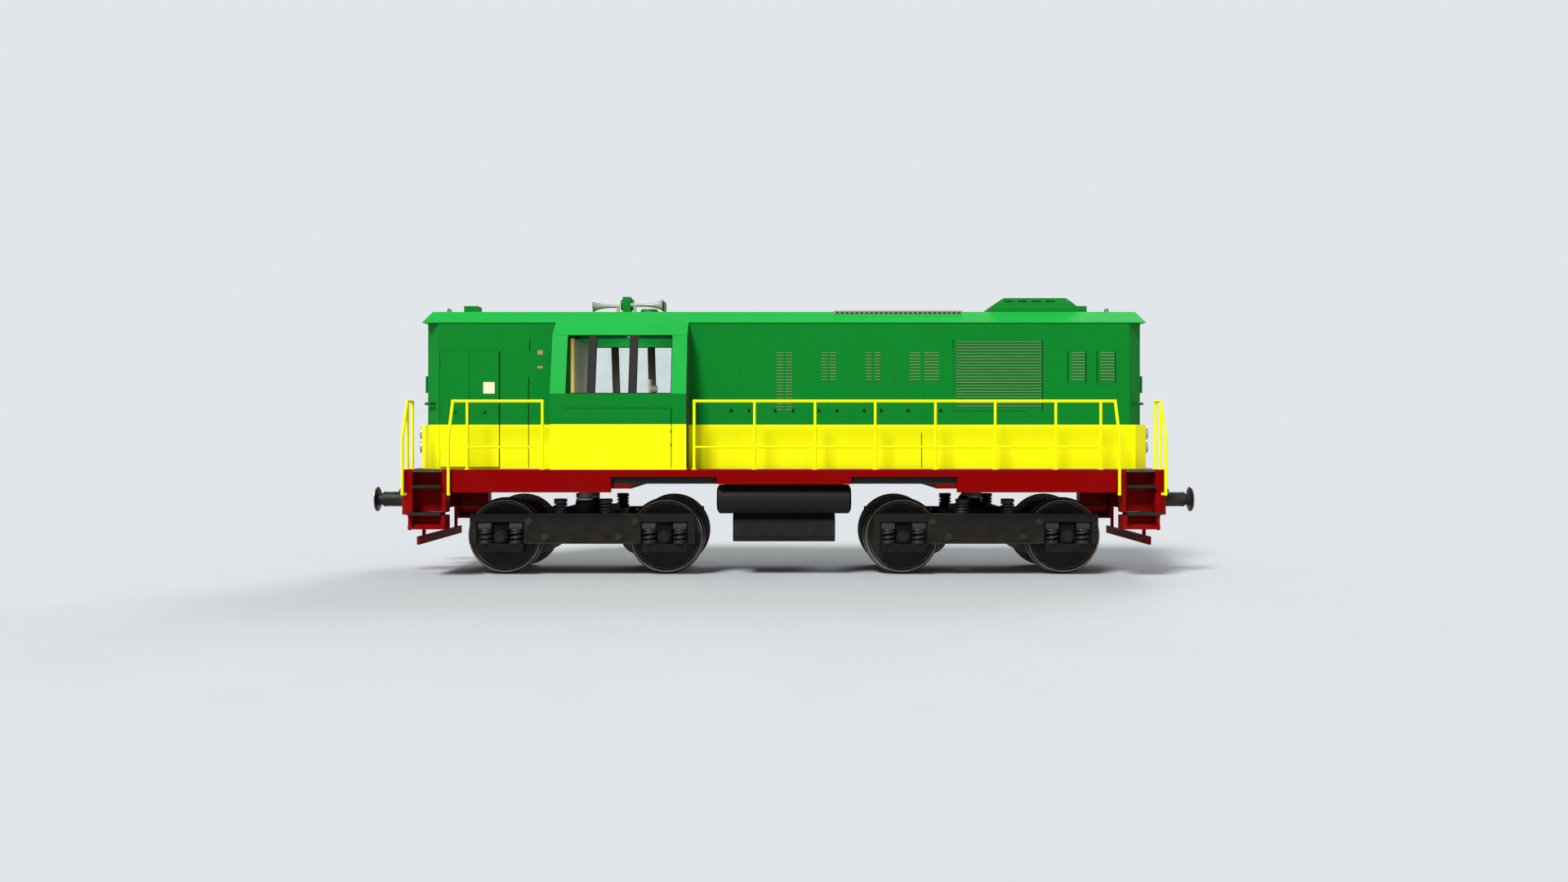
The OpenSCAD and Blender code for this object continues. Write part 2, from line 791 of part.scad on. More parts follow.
// Axle boxes with their spring wings and round covers
module axle_boxes() {
    color(black_grey) for (x = [-axle_dx, axle_dx]) translate([x, 0, 0]) both_sides() {
        difference() {
            union() {
                box(-115, 115, 960, box_face_y, 420, 890);
                box(-375, 375, 1000, side_y1 - 4, 400, side_z0);
            }
            translate([0, 0, axle_z]) y_cylinder(journal_r + running, 950, 1110);
        }
        translate([0, 0, axle_z]) y_cylinder(112, box_face_y, box_face_y + 14);
    }
}

// Two nose-hung motors, each with a tube round its axle
module traction_motors() {
    color(steel) for (s = [-1, 1]) difference() {
        union() {
            translate([s * 860, 0, 620]) y_cylinder(310, -560, 560);
            translate([s * axle_dx, 0, axle_z]) y_cylinder(150, -500, 500);
            translate([s * 1150, 0, 0]) box(-130, 130, -480, 480, 520, 770);
            translate([s * 475, 0, 0]) box(-104.5, 104.5, -150, 150, 650, 755);
        }
        translate([s * axle_dx, 0, axle_z]) y_cylinder(axle_r + running, -600, 600);
    }
}

// Axle, wheels and journals turned as one profile about the axle
module wheelset() {
    profile = [
        [0, 0], [axle_r, 0], [axle_r, 640], [165, 660], [165, 700], [140, 735], [520, 740],
        [545, 690], [flange_r - 12, 684], [flange_r, 694], [flange_r, 706], [tread_r + 10, 724],
        [tread_r, 740], [tread_r - 4, 812], [tread_r - 12, 824], [566, 824], [560, 806],
        [545, 780], [150, 790], [150, 850], [110, 860], [journal_r, 862], [journal_r, 1100], [0, 1100]
    ];
    color(black_grey) both_sides() rotate([-90, 0, 0]) rotate_extrude($fn = 96) polygon(profile);
}

module axle_at(x) {
    translate([x, 0, axle_z]) wheelset();
}

side_sills();
headstocks();
frame_beams();
deck();
steps();
rail_guards();
buffers();
draw_gear();
side_railings();
end_railings();
fuel_tank();
air_reservoirs();
long_hood();
short_hood();
cab_shell();
cab_roof();
cab_window_posts();
cab_glass();
control_desk();
driver_seats();
wall_lockers();
engine_block();
radiator_grilles();
engine_roof_grille();
fan_cowl();
radiator_fan();
headlamps();
horns();
roof_fittings();
cab_door_front();
cab_door_rear();
hood_leaf(1, -1);  // hood_door_left_1
hood_leaf(1, 1);  // hood_door_left_2
hood_leaf(-1, -1);  // hood_door_right_1
hood_leaf(-1, 1);  // hood_door_right_2
translate([pivot_x, 0, 0]) bogie_frame(1);  // front_bogie_frame
translate([pivot_x, 0, 0]) bogie_springs();  // front_bogie_springs
translate([pivot_x, 0, 0]) axle_boxes();  // front_axle_boxes
translate([pivot_x, 0, 0]) traction_motors();  // front_traction_motors
translate([-pivot_x, 0, 0]) bogie_frame(-1);  // rear_bogie_frame
translate([-pivot_x, 0, 0]) bogie_springs();  // rear_bogie_springs
translate([-pivot_x, 0, 0]) axle_boxes();  // rear_axle_boxes
translate([-pivot_x, 0, 0]) traction_motors();  // rear_traction_motors
axle_at(pivot_x + axle_dx);  // wheelset_1
axle_at(pivot_x - axle_dx);  // wheelset_2
axle_at(-pivot_x + axle_dx);  // wheelset_3
axle_at(-pivot_x - axle_dx);  // wheelset_4
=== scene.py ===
import math

import bmesh
import bpy
from mathutils import Matrix, Vector


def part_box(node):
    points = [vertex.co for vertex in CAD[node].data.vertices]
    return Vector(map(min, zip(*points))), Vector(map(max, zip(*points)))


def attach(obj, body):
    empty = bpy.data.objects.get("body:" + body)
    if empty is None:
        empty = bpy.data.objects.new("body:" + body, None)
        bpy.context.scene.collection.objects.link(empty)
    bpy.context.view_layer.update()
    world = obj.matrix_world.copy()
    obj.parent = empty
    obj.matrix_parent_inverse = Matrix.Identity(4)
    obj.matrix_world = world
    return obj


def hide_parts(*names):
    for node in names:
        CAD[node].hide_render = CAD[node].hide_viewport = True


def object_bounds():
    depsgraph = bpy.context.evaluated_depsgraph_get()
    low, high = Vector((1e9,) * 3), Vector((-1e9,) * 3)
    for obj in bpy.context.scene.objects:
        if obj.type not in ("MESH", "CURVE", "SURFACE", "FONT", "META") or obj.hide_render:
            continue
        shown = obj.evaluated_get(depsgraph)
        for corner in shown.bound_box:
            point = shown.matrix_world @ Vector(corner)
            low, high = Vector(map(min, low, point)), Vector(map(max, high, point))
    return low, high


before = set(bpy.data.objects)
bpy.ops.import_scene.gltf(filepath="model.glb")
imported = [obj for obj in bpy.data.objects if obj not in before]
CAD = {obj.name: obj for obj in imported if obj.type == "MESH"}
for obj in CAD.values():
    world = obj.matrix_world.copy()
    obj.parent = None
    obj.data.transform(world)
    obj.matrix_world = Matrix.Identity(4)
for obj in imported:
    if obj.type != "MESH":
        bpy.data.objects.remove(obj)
CAD_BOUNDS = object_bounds()

# ---------------------------------------------------------------- places
# All sizes are in metres. X runs along the track, Y across, Z up.

BODY = "locomotive"
CAB_LOW, CAB_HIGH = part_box("cab_shell")
DECK_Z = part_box("deck")[1][2]
ROOF_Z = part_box("long_hood")[1][2]
GRILLE_LOW, GRILLE_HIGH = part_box("radiator_grilles")
WALL_Y = GRILLE_HIGH[1]  # outer face of the hoods' side walls
EAVE_Z = 4.2  # underside of the roofs' edges
SILL_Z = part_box("cab_glass")[0][2]  # of the cab's side windows
CEILING_Z = 4.113
BAND_Z = 2.498  # top of the yellow band
HEADSTOCK_X = 6.211  # outer face of a headstock
HOOD_END_X = 5.98  # of the hoods above the band
HOOD_CHAMFER = 0.245
NOSE_X = 6.078  # of the hoods' yellow feet
AXLES = {name: [(a + b) / 2 for a, b in zip(*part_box(name))] for name in
         ("wheelset_1", "wheelset_2", "wheelset_3", "wheelset_4")}
FLANGE_R = (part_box("wheelset_1")[1][0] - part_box("wheelset_1")[0][0]) / 2

# Where one part changes colour
TREAD_SLICES = ((1.027, 1.0745), (1.4685, 1.5155))  # heights of the steps' two treads
WELL_BACK_Y = 1.3105  # the treads reach out beyond the back of their wells
STEP_X = 5.5255  # and stand nearer the ends than this
KICK_PLATE_X = (5.56, 5.98)
KICK_PLATE_Y = 1.45
KICK_PLATE_Z = (0.86, 1.02)
DUCT_X = (1.0, 2.802)
DUCT_FOOT_Z = 1.522
BOLSTER_X = (2.47, 4.16)
BEARER_RING_Z = (1.2465, 1.272)
BOX_WING_Z = 0.54  # top of the plate under an axle box
ROOF_INNER_Y = 1.265  # half width of the cab roof's inner face, narrowing by its slope above its foot
ROOF_INNER_FOOT_Z = 3.962
ROOF_INNER_SLOPE = 1.218
LOCKER_EDGE_X = -3.589  # the rear locker is green beyond it

# How far in from the flange's edge the bands of a wheel lie
TREAD_DEPTH = 0.036
TYRE_DEPTH = 0.088
# thin pale rings near the tyre's edges: painted highlights
HIGHLIGHT_RINGS = ((0.042, 0.053), (0.087, 0.096))


def srgb(red, green, blue):
    """A linear colour from 0 to 255 display values."""
    def channel(value):
        value /= 255
        return value / 12.92 if value <= 0.04045 else ((value + 0.055) / 1.055) ** 2.4
    return (channel(red), channel(green), channel(blue), 1.0)


GREEN = srgb(6, 124, 38)
# Lighter green of the roofs and of the cab above its sills: partly a paler paint, partly painted light, as
# these faces tilt up towards the light
LIT_GREEN = srgb(24, 166, 62)
YELLOW = srgb(255, 250, 6)
RED = srgb(132, 0, 0)
BLACK = srgb(27, 24, 21)
DUST = srgb(112, 102, 88)
SOOT = srgb(40, 36, 31)


# ---------------------------------------------------------------- finishes

class Finish:
    """A procedural material built round one Principled shader, in the object's own coordinates."""

    def __init__(self, name, rough=0.5, metallic=0.0, coat=0.0, gloss=0.5):
        self.material = bpy.data.materials.new(name)
        self.material.use_nodes = True
        self.nodes = self.material.node_tree.nodes
        self.links = self.material.node_tree.links
        self.shader = self.nodes["Principled BSDF"]
        self.shader.inputs["Roughness"].default_value = rough
        self.shader.inputs["Metallic"].default_value = metallic
        self.shader.inputs["Coat Weight"].default_value = coat
        self.shader.inputs["Specular IOR Level"].default_value = gloss
        self.place = self.nodes.new("ShaderNodeTexCoord").outputs["Object"]

    def split(self):
        node = self.nodes.new("ShaderNodeSeparateXYZ")
        self.links.new(self.place, node.inputs[0])
        return node.outputs

    def math(self, operation, first, second=None, clamp=False):
        node = self.nodes.new("ShaderNodeMath")
        node.operation = operation
        node.use_clamp = clamp
        for socket, value in zip(node.inputs, (first, second)):
            if value is None:
                continue
            if isinstance(value, (int, float)):
                socket.default_value = value
            else:
                self.links.new(value, socket)
        return node.outputs[0]

    def noise(self, scale, detail=3.0, stretch=(1, 1, 1)):
        mapping = self.nodes.new("ShaderNodeMapping")
        mapping.inputs["Scale"].default_value = stretch
        self.links.new(self.place, mapping.inputs["Vector"])
        node = self.nodes.new("ShaderNodeTexNoise")
        node.inputs["Scale"].default_value = scale
        node.inputs["Detail"].default_value = detail
        self.links.new(mapping.outputs[0], node.inputs["Vector"])
        return node.outputs["Fac"]

    def remap(self, value, low, high, to_low=0.0, to_high=1.0):
        node = self.nodes.new("ShaderNodeMapRange")
        self.links.new(value, node.inputs["Value"])
        for key, number in zip(("From Min", "From Max", "To Min", "To Max"), (low, high, to_low, to_high)):
            node.inputs[key].default_value = number
        return node.outputs["Result"]

    def mix(self, factor, first, second):
        node = self.nodes.new("ShaderNodeMix")
        node.data_type = "RGBA"
        for socket, value in zip((node.inputs[0], node.inputs[6], node.inputs[7]), (factor, first, second)):
            if isinstance(value, (int, float, tuple)):
                socket.default_value = value
            else:
                self.links.new(value, socket)
        return node.outputs[2]

    def between(self, value, low, high):
        """1 where value lies between low and high, else 0."""
        return self.math("MULTIPLY", self.math("GREATER_THAN", value, low),
                         self.math("LESS_THAN", value, high))

    def colour(self, value):
        if isinstance(value, tuple):
            self.shader.inputs["Base Color"].default_value = value
        else:
            self.links.new(value, self.shader.inputs["Base Color"])

    def roughness(self, low, high, scale=30.0):
        self.links.new(self.remap(self.noise(scale), 0.3, 0.7, low, high), self.shader.inputs["Roughness"])

    def bump(self, height, strength, distance=0.002):
        node = self.nodes.new("ShaderNodeBump")
        node.inputs["Strength"].default_value = strength
        node.inputs["Distance"].default_value = distance
        self.links.new(height, node.inputs["Height"])
        self.links.new(node.outputs[0], self.shader.inputs["Normal"])


def shade(colour, factor):
    return tuple(min(1.0, c * factor) for c in colour[:3]) + (1.0,)


def weather(finish, colour, grime, dust_top):
    """Soft colour drift, faint rain streaks, and dust that thins out with height."""
    drift = finish.remap(finish.noise(1.1, 4), 0.35, 0.65)
    colour = finish.mix(drift, finish.mix(0.06, colour, SOOT), colour)
    streaks = finish.remap(finish.noise(4.0, 5, (2.5, 2.5, 0.2)), 0.58, 0.85, 0.0, grime)
    colour = finish.mix(streaks, colour, SOOT)
    height = finish.remap(finish.split()[2], dust_top, dust_top - 0.6, 0.0, grime)
    patches = finish.math("MULTIPLY", height, finish.remap(finish.noise(6.0, 6), 0.4, 0.75))
    return finish.mix(patches, colour, DUST)


def paint(name, colour, rough=0.42, grime=0.08, dust_top=2.1, gloss=0.12, zones=()):
    """Sprayed paint with fine peel. zones are (mask maker, colour) pairs laid over the base colour."""
    finish = Finish(name, rough, gloss=gloss)
    for mask, other in zones:
        colour = finish.mix(mask(finish), colour, other)
    finish.colour(weather(finish, colour, grime, dust_top))
    finish.roughness(rough - 0.05, rough + 0.1)
    finish.bump(finish.noise(140.0, 2), 0.05)
    return finish.material


def below(height):
    """A zone under a height."""
    return lambda finish: finish.math("LESS_THAN", finish.split()[2], height)


def above(height):
    """A zone over a height."""
    return lambda finish: finish.math("GREATER_THAN", finish.split()[2], height)


def slice_of(low, high):
    """A zone between two heights."""
    return lambda finish: finish.between(finish.split()[2], low, high)


def along(low, high):
    """A zone between two stations along the track."""
    return lambda finish: finish.between(finish.split()[0], low, high)


def inside(half_width, height, foot=0.0, slope=0.0):
    """A zone lower than height and nearer the middle than half_width, which narrows by slope above foot."""
    def mask(finish):
        _, y, z = finish.split()
        reach = finish.math("ADD", finish.math("ABSOLUTE", y),
                            finish.math("MULTIPLY", slope, finish.math("SUBTRACT", z, foot)))
        return finish.math("MULTIPLY", finish.math("LESS_THAN", reach, half_width),
                           finish.math("LESS_THAN", z, height))
    return mask


def treads(finish):
    """The steps' two treads, out beyond the back of their wells."""
    x, y, z = finish.split()
    tread = finish.math("MAXIMUM", *(finish.between(z, *heights) for heights in TREAD_SLICES))
    out = finish.math("GREATER_THAN", finish.math("ABSOLUTE", y), WELL_BACK_Y)
    return finish.math("MULTIPLY", finish.math("MULTIPLY", tread, out),
                       finish.math("GREATER_THAN", finish.math("ABSOLUTE", x), STEP_X))


def lit_kick_plates(finish):
    """The plates behind the lowest step, inside the wells, in a brighter red: painted light, as they lie in
    the treads' shadow.
    """
    x, y, z = finish.split()
    well = finish.math("MULTIPLY", finish.between(finish.math("ABSOLUTE", x), *KICK_PLATE_X),
                       finish.math("LESS_THAN", finish.math("ABSOLUTE", y), KICK_PLATE_Y))
    return finish.math("MULTIPLY", well, finish.between(z, *KICK_PLATE_Z))


def ducts(finish):
    """The grey ducts in the sills' recesses, between the middle of the frame and the bolsters."""
    x, _, z = finish.split()
    return finish.math("MULTIPLY", finish.between(finish.math("ABSOLUTE", x), *DUCT_X),
                       finish.math("GREATER_THAN", z, DUCT_FOOT_Z))


def steel(name, colour, rough, metallic=1.0, grain=(1, 1, 1), rust=0.0):
    """Bare or thinly oiled metal with directional grain and optional rust bloom."""
    finish = Finish(name, rough, metallic)
    grain_noise = finish.noise(60.0, 4, grain)
    base = finish.mix(finish.remap(grain_noise, 0.3, 0.7), shade(colour, 0.8), colour)
    if rust:
        bloom = finish.remap(finish.noise(9.0, 6), 0.5, 0.75, 0.0, rust)
        base = finish.mix(bloom, base, srgb(88, 58, 38))
    finish.colour(base)
    finish.roughness(rough - 0.08, rough + 0.12, 45.0)
    finish.bump(grain_noise, 0.1, 0.001)
    return finish.material


def wheel_finish(name, centre):
    """Painted disc, oily tyre and bright running tread, told apart by distance from the axle."""
    finish = Finish(name, 0.55, 0.55)
    x, _, z = finish.split()
    dx = finish.math("SUBTRACT", x, centre[0])
    dz = finish.math("SUBTRACT", z, centre[2])
    radius = finish.math("SQRT", finish.math("ADD", finish.math("MULTIPLY", dx, dx),
                                             finish.math("MULTIPLY", dz, dz)))
    tyre = finish.math("GREATER_THAN", radius, FLANGE_R - TYRE_DEPTH)
    tread = finish.math("GREATER_THAN", radius, FLANGE_R - TREAD_DEPTH)
    disc = finish.mix(finish.remap(finish.noise(4.0, 6), 0.35, 0.7), srgb(24, 22, 20), srgb(40, 35, 30))
    rim = finish.mix(finish.remap(finish.noise(14.0, 5), 0.3, 0.7), srgb(40, 34, 29), srgb(66, 57, 48))
    bright = finish.mix(finish.remap(finish.noise(30.0, 3), 0.3, 0.7), srgb(78, 73, 67), srgb(118, 112, 105))
    face = finish.mix(tread, finish.mix(tyre, disc, rim), bright)
    # pale painted highlights in two thin rings near the tyre's edges
    worn = finish.math("MAXIMUM", *(finish.between(radius, FLANGE_R - deep, FLANGE_R - shallow)
                                    for shallow, deep in HIGHLIGHT_RINGS))
    finish.colour(finish.mix(worn, face, srgb(172, 162, 150)))
    rough = finish.remap(tread, 0.0, 1.0, 0.6, 0.34)
    finish.links.new(rough, finish.shader.inputs["Roughness"])
    finish.bump(finish.noise(50.0, 4), 0.15)
    return finish.material


def facing_along(finish):
    """Faces that don't look sideways: the lockers' fronts and tops."""
    normal = finish.nodes.new("ShaderNodeNewGeometry").outputs["Normal"]
    node = finish.nodes.new("ShaderNodeSeparateXYZ")
    finish.links.new(normal, node.inputs[0])
    return finish.math("LESS_THAN", finish.math("ABSOLUTE", node.outputs[1]), 0.5)


def clear_glass(name):
    finish = Finish(name, 0.03)
    finish.shader.inputs["Transmission Weight"].default_value = 1.0
    finish.shader.inputs["IOR"].default_value = 1.02
    finish.colour(finish.mix(finish.remap(finish.noise(3.0, 4), 0.3, 0.7), srgb(236, 244, 242),
                             srgb(250, 253, 252)))
    return finish.material


def lens_glass(name):
    """Frosted lamp lens with upright flutes."""
    finish = Finish(name, 0.12, coat=0.5)
    wave = finish.nodes.new("ShaderNodeTexWave")
    wave.inputs["Scale"].default_value = 22.0
    wave.bands_direction = "Y"
    finish.links.new(finish.place, wave.inputs["Vector"])
    finish.colour(finish.mix(wave.outputs["Fac"], srgb(196, 200, 196), srgb(238, 240, 234)))
    finish.bump(wave.outputs["Fac"], 0.5, 0.003)
    return finish.material


def tread_plate(name, colour):
    """Anti-slip plate: short raised ribs in a crossed pattern over worn paint."""
    finish = Finish(name, 0.6, 0.2)
    brick = finish.nodes.new("ShaderNodeTexBrick")
    brick.inputs["Scale"].default_value = 14.0
    brick.inputs["Mortar Size"].default_value = 0.06
    finish.links.new(finish.place, brick.inputs["Vector"])
    rubbed = finish.remap(finish.noise(3.0, 6), 0.45, 0.75, 0.0, 0.6)
    finish.colour(finish.mix(rubbed, colour, srgb(92, 88, 82)))
    finish.bump(brick.outputs["Fac"], 0.5, 0.004)
    return finish.material


def leather(name, colour):
    finish = Finish(name, 0.5)
    grain = finish.noise(160.0, 4)
    finish.colour(finish.mix(finish.remap(finish.noise(8.0, 4), 0.3, 0.7), shade(colour, 0.8),
                             shade(colour, 1.15)))
    finish.bump(grain, 0.35, 0.0015)
    return finish.material


CAB_LINING = srgb(104, 105, 82)
# The roof's inner face: its green lining, made lighter as painted light so that it shows lit though it lies
# in the roof's shade
LIT_LINING_GREEN = srgb(22, 150, 62)

M = {
    "body": paint("green_and_yellow_paint", GREEN, gloss=0.07, zones=[(below(BAND_Z), YELLOW)]),
    # above the hoods' eaves and the cab's sills the green turns lighter, partly painted light on faces that
    # tilt up
    "hood": paint("hood_paint", GREEN, gloss=0.07,
                  zones=[(below(BAND_Z), YELLOW), (above(EAVE_Z - 0.012), LIT_GREEN)]),
    "cab": paint("cab_paint", GREEN, gloss=0.07, zones=[(below(BAND_Z), YELLOW), (above(SILL_Z), LIT_GREEN),
                                            (inside(CAB_HIGH[1] - 0.25, 9.0), CAB_LINING)]),
    # inside the cab roof the lining green is lightened as painted light
    "roof": paint("roof_paint", LIT_GREEN, grime=0.12,
                  zones=[(inside(ROOF_INNER_Y, CEILING_Z + 0.002, ROOF_INNER_FOOT_Z, ROOF_INNER_SLOPE),
                           LIT_LINING_GREEN)]),
    "green": paint("green_paint", GREEN),
    "light_green": paint("light_green_paint", LIT_GREEN),
    "dark_green": paint("dark_green_paint", srgb(12, 84, 34), rough=0.5),
    "yellow": paint("yellow_rail_paint", YELLOW, rough=0.36, grime=0.06),
    "red": paint("red_frame_paint", RED, rough=0.5, grime=0.1, dust_top=1.5, gloss=0.03),
    "beams": paint("red_and_grey_beam_paint", srgb(48, 46, 42), rough=0.6, grime=0.12, dust_top=1.5,
                   gloss=0.04, zones=[(along(*BOLSTER_X), RED), (along(-BOLSTER_X[1], -BOLSTER_X[0]), RED),
                                      (ducts, srgb(48, 46, 42))]),
    "steps": paint("red_and_black_step_paint", RED, rough=0.5, grime=0.1, dust_top=1.5, gloss=0.04,
                   # the plates behind the lowest step get a brighter red as painted light
                   zones=[(lit_kick_plates, srgb(188, 14, 12)), (treads, srgb(38, 40, 37))]),
    "black": paint("black_bogie_paint", BLACK, rough=0.62, grime=0.06, dust_top=1.2, gloss=0.12,
                   zones=[(above(BEARER_RING_Z[0]), srgb(120, 115, 107)),
                          (slice_of(*BEARER_RING_Z), srgb(205, 198, 184))]),
    # above the plate under it the box is near black: partly its dark paint, partly painted shade where it
    # sits back in the frame
    "box": paint("dark_axle_box_paint", BLACK, rough=0.7, grime=0.04, dust_top=1.2, gloss=0.05,
                 zones=[(above(BOX_WING_Z), srgb(12, 12, 15))]),
    # a lighter copy of the bogie black: painted light on the lit tops of spring seats and caps, bolts and
    # brake hangers
    "lit_black": paint("worn_bogie_paint", srgb(45, 42, 38), rough=0.55, grime=0.08, dust_top=1.2,
                       gloss=0.15),
    "tank": paint("black_tank_paint", srgb(28, 26, 24), rough=0.5, grime=0.08, dust_top=1.2, gloss=0.15),
    "buffer": paint("black_buffer_paint", srgb(24, 23, 23), rough=0.5, grime=0.12, gloss=0.25),
    "deck": tread_plate("deck_plate", srgb(56, 55, 50)),
    "beige": paint("beige_louvre_paint", srgb(160, 142, 122), rough=0.5),
    # dark slots: painted shade where the openings of louvres, grilles, cowl and grating look dark
    "slot": paint("dark_slot_paint", srgb(16, 30, 20), rough=0.7),
    "seam": paint("dark_seam", srgb(4, 40, 18), rough=0.7, gloss=0.05),
    "yellow_seam": paint("dark_yellow_seam", srgb(96, 108, 16), rough=0.7),
    "spring": steel("spring_steel", srgb(60, 57, 53), 0.42, 0.5),
    "steel": steel("grey_steel", srgb(84, 81, 77), 0.36, 0.8, (1, 1, 6)),
    "bright": steel("bright_steel", srgb(176, 170, 162), 0.35, 0.12),
    "dark": paint("dark_fitting_paint", srgb(36, 38, 36), rough=0.45, gloss=0.3),
    "post": paint("dark_post_paint", srgb(38, 35, 33), rough=0.5, gloss=0.1),
    "desk": paint("grey_desk_paint", srgb(140, 132, 122), rough=0.5, grime=0.05, gloss=0.3),
    "locker": paint("orange_and_olive_locker_paint", srgb(255, 204, 108), rough=0.5, grime=0.05,
                    zones=[(along(-9.0, LOCKER_EDGE_X), srgb(12, 84, 34)), (facing_along, CAB_LINING)]),
    # dark green ceiling: partly the lining's colour, partly painted shade under the roof
    "ceiling": paint("dark_ceiling_paint", srgb(12, 66, 34), rough=0.8, grime=0.05, gloss=0.05),
    "motor": paint("grey_motor_paint", srgb(62, 60, 57), rough=0.6, grime=0.3, dust_top=1.3, gloss=0.3),
    "glass": clear_glass("cab_glass"),
    "lens": lens_glass("lamp_lens"),
    "seat": leather("dark_leather", srgb(44, 46, 51)),
    "rubber": paint("black_rubber", srgb(24, 24, 24), rough=0.7, gloss=0.3),
    "plate": paint("blank_plate", srgb(246, 238, 196), rough=0.4, gloss=0.3),
    "dial": paint("white_dial", srgb(230, 230, 222), rough=0.4, grime=0.02, gloss=0.4),
}


def dress(material, *names):
    for name in names:
        mesh = CAD[name].data
        mesh.materials.clear()
        mesh.materials.append(M[material] if isinstance(material, str) else material)


def round_edges(width, *names):
    """A narrow rounded edge, so that light catches the plates' corners."""
    for name in names:
        bevel = CAD[name].modifiers.new("edges", "BEVEL")
        bevel.width = width
        bevel.segments = 2
        bevel.limit_method = "ANGLE"
        bevel.angle_limit = math.radians(40)
        bevel.use_clamp_overlap = True


# ---------------------------------------------------------------- mesh pieces

class Shape:
    """One mesh piece, gathered from simple solids before it gets its material."""

    def __init__(self):
        self.mesh = bmesh.new()

    def box(self, x, y, z):
        """x, y and z are (low, high) pairs."""
        size = [b - a for a, b in (x, y, z)]
        centre = [(a + b) / 2 for a, b in (x, y, z)]
        matrix = Matrix.Translation(centre) @ Matrix.Diagonal((*size, 1))
        return bmesh.ops.create_cube(self.mesh, size=1, matrix=matrix)["verts"]

    def rod(self, start, end, radius, sides=16, end_radius=None):
        start, end = Vector(start), Vector(end)
        along = end - start
        turn = along.to_track_quat("Z", "Y").to_matrix().to_4x4()
        matrix = Matrix.Translation((start + end) / 2) @ turn
        return bmesh.ops.create_cone(
            self.mesh, cap_ends=True, segments=sides, radius1=radius,
            radius2=radius if end_radius is None else end_radius, depth=along.length, matrix=matrix)["verts"]

    def ring(self, centre, side, up, radius, sides):
        """A ring of new corners round a centre."""
        turns = [2 * math.pi * k / sides for k in range(sides)]
        return [self.mesh.verts.new(centre + radius * (side * math.cos(a) + up * math.sin(a))) for a in turns]

    def tube(self, points, radius, sides=10):
        """A round bar swept along points."""
        rings = []
        points = [Vector(p) for p in points]
        side = None
        for i, point in enumerate(points):
            along = (points[min(i + 1, len(points) - 1)] - points[max(i - 1, 0)]).normalized()
            side = along.cross(side.cross(along)) if side else along.orthogonal()
            side.normalize()
            up = along.cross(side)
            rings.append(self.ring(point, side, up, radius, sides))
        for ring, following in zip(rings, rings[1:]):
            for k in range(sides):
                self.mesh.faces.new((ring[k], ring[(k + 1) % sides], following[(k + 1) % sides],
                                     following[k]))
        self.mesh.faces.new(reversed(rings[0]))
        self.mesh.faces.new(rings[-1])

    def lathe(self, profile, origin, axis, sides=48):
        """profile is a closed outline of (along, radius) turned about axis through origin."""
        axis = Vector(axis).normalized()
        side = axis.orthogonal().normalized()
        up = axis.cross(side)
        origin = Vector(origin)
        rings = []
        for along, radius in profile:
            if radius < 1e-6:
                rings.append([self.mesh.verts.new(origin + axis * along)])
                continue
            rings.append(self.ring(origin + axis * along, side, up, radius, sides))
        for ring, following in zip(rings, rings[1:]):
            for k in range(sides):
                corners = [ring[k % len(ring)], ring[(k + 1) % len(ring)],
                           following[(k + 1) % len(following)], following[k % len(following)]]
                unique = list(dict.fromkeys(corners))
                if len(unique) > 2:
                    self.mesh.faces.new(unique)

    def prism(self, outline, low, high, axis="X"):
        """An outline of (Y, Z), (X, Z) or (X, Y) points pushed out along the axis left over."""
        def place(u, v, w):
            return {"X": (w, u, v), "Y": (u, w, v), "Z": (u, v, w)}[axis]
        ends = [[self.mesh.verts.new(place(u, v, w)) for u, v in outline] for w in (low, high)]
        self.mesh.faces.new(ends[0])
        self.mesh.faces.new(reversed(ends[1]))
        for k in range(len(outline)):
            following = (k + 1) % len(outline)
            self.mesh.faces.new((ends[0][following], ends[0][k], ends[1][k], ends[1][following]))

    def piece(self, name, material, body=BODY, slot=None, bevel=0.0, segments=2, smooth=35, stands_for=()):
        bmesh.ops.recalc_face_normals(self.mesh, faces=self.mesh.faces)
        mesh = bpy.data.meshes.new(name)
        self.mesh.to_mesh(mesh)
        self.mesh.free()
        mesh.polygons.foreach_set("use_smooth", [True] * len(mesh.polygons))
        mesh.set_sharp_from_angle(angle=math.radians(smooth))
        mesh.materials.append(M[material] if isinstance(material, str) else material)
        thing = bpy.data.objects.new(name, mesh)
        bpy.context.scene.collection.objects.link(thing)
        if bevel:
            modifier = thing.modifiers.new("edges", "BEVEL")
            modifier.width = bevel
            modifier.segments = segments
            modifier.limit_method = "ANGLE"
            modifier.angle_limit = math.radians(40)
        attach(thing, body)
        if stands_for:
            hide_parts(*stands_for)
        return thing


def both(low, high, side):
    """A (low, high) pair across the track, on side -1 or 1."""
    return (low, high) if side > 0 else (-high, -low)


SIDES = (-1, 1)


# ---------------------------------------------------------------- hoods

# Long hood doors: centre along X, width of the pair of leaves, x of the two handles
LONG_DOORS = (
    (-0.735, 0.735, (-0.88, -0.58)),
    (0.0, 0.735, (-0.15, 0.15)),
    (0.735, 0.735, (0.58, 0.88)),
    (1.47, 0.735, (1.33, 1.61)),
    (2.33, 0.97, (2.06, 2.60)),
)
DOOR_TOP_Z = 3.76
DOOR_FOOT_Z = DECK_Z + 0.035
HANDLE_Z = 2.735

